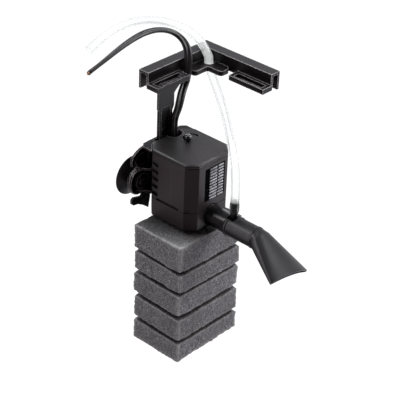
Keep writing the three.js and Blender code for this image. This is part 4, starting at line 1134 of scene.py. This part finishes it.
# ------------------------------------------------------------------ camera, floor and light
LENS = 123.36183
CAMERA_TURN = (-48.6172, 31.7843, 2.4398)       # azimuth, elevation and roll in degrees
CAMERA_AT = (-681.559, -600.257, 430.560)


def camera():
    azimuth, elevation, roll = (math.radians(angle) for angle in CAMERA_TURN)
    back = np.array([math.sin(azimuth) * math.cos(elevation),
                     -math.cos(azimuth) * math.cos(elevation), math.sin(elevation)])
    level = np.array([math.cos(azimuth), math.sin(azimuth), 0.0])
    upright = np.cross(back, level)
    right = math.cos(roll) * level + math.sin(roll) * upright
    up = -math.sin(roll) * level + math.cos(roll) * upright
    data = bpy.data.cameras.new("camera")
    data.sensor_width = 36.0
    data.lens = LENS
    data.clip_start, data.clip_end = 0.05, 20.0
    obj = add_object("camera", data)
    matrix = Matrix.Identity(4)
    for i in range(3):
        matrix[i] = (right[i], up[i], back[i], CAMERA_AT[i] * MM)
    obj.matrix_world = matrix
    scene.camera = obj


camera()

FLOOR_Z, FLOOR_HALF = -0.312, 6.0       # metres


def floor():
    """Pale floor that only the camera sees, so it neither lights nor shades the object."""
    mat = material("floor_pale")
    glow = mat.add("Emission", {"Color": (1, 1, 1), "Strength": 0.93})
    cloudy = mat.remap(mat.noise(size=60), span=(0.3, 0.7))
    soft = mat.add("BsdfDiffuse", {
        "Color": mat.mix(cloudy, (0.150, 0.150, 0.150), (0.156, 0.156, 0.156))})
    seen = mat.add("AddShader", {0: glow, 1: soft})
    gone = mat.add("BsdfTransparent", {"Color": (1, 1, 1)})
    is_camera = mat.add("LightPath").outputs["Is Camera Ray"]
    mat.finish(mat.add("MixShader", {0: is_camera, 1: gone, 2: seen}))
    mesh = bpy.data.meshes.new("floor")
    corners = [(-1, -1), (1, -1), (1, 1), (-1, 1)]
    mesh.from_pydata([(x * FLOOR_HALF, y * FLOOR_HALF, FLOOR_Z) for x, y in corners],
                     [], [(0, 1, 2, 3)])
    mesh.materials.append(mat.owner)
    add_object("floor", mesh)


floor()

# the room's brightness in a direction is ROOM_BASE + ROOM_SLOPE . direction, at least ROOM_LEAST
ROOM_BASE, ROOM_SLOPE, ROOM_LEAST = 0.52, (0.70, 0.26, -0.36), 0.07
BACKDROP = 0.97                         # brightness the camera sees


def world():
    """A room bright to the right and dim on the camera's side; the camera sees plain white."""
    scene.world = bpy.data.worlds.new("studio")
    room = Shader(scene.world, "OutputWorld")
    direction = room.add("TexCoord").outputs["Generated"]
    light = room.math("ADD", room.dot(direction, ROOM_SLOPE), ROOM_BASE)
    light = room.math("MAXIMUM", light, ROOM_LEAST)
    is_camera = room.add("LightPath").outputs["Is Camera Ray"]
    strength = room.add("Mix", {0: is_camera, 2: light, 3: BACKDROP}, data_type="FLOAT")
    tone = room.mix(light, (1.10, 0.90, 0.95), (0.97, 0.98, 1.05))  # dim side, bright side
    colour = room.mix(is_camera, tone, (1, 1, 1))
    room.finish(room.add("Background", {"Color": colour, "Strength": strength}))


world()

LIGHT_AIM = Vector((-0.055, -0.04, -0.09))      # metres


def softbox(name, at, size, power, color=(1, 1, 1)):
    """Rectangular light; place and size in metres, power in watts."""
    light = bpy.data.lights.new(name, "AREA")
    light.shape = "RECTANGLE"
    light.size, light.size_y = size
    light.energy = power
    light.color = color
    obj = add_object(name, light)
    obj.location = at
    obj.rotation_mode = "QUATERNION"
    obj.rotation_quaternion = (LIGHT_AIM - Vector(at)).to_track_quat("-Z", "Y")


softbox("key", at=(0.75, -0.75, 0.75), size=(0.7, 0.7), power=9.0)
softbox("rim", at=(-0.55, 0.65, 0.75), size=(0.8, 0.5), power=8.0)
softbox("top", at=(0.1, 0.15, 1.0), size=(0.8, 0.8), power=4.0, color=(0.98, 0.99, 1.0))
softbox("side", at=(-1.15, 0.20, 0.05), size=(0.14, 0.7), power=0.8)

bpy.context.view_layer.update()
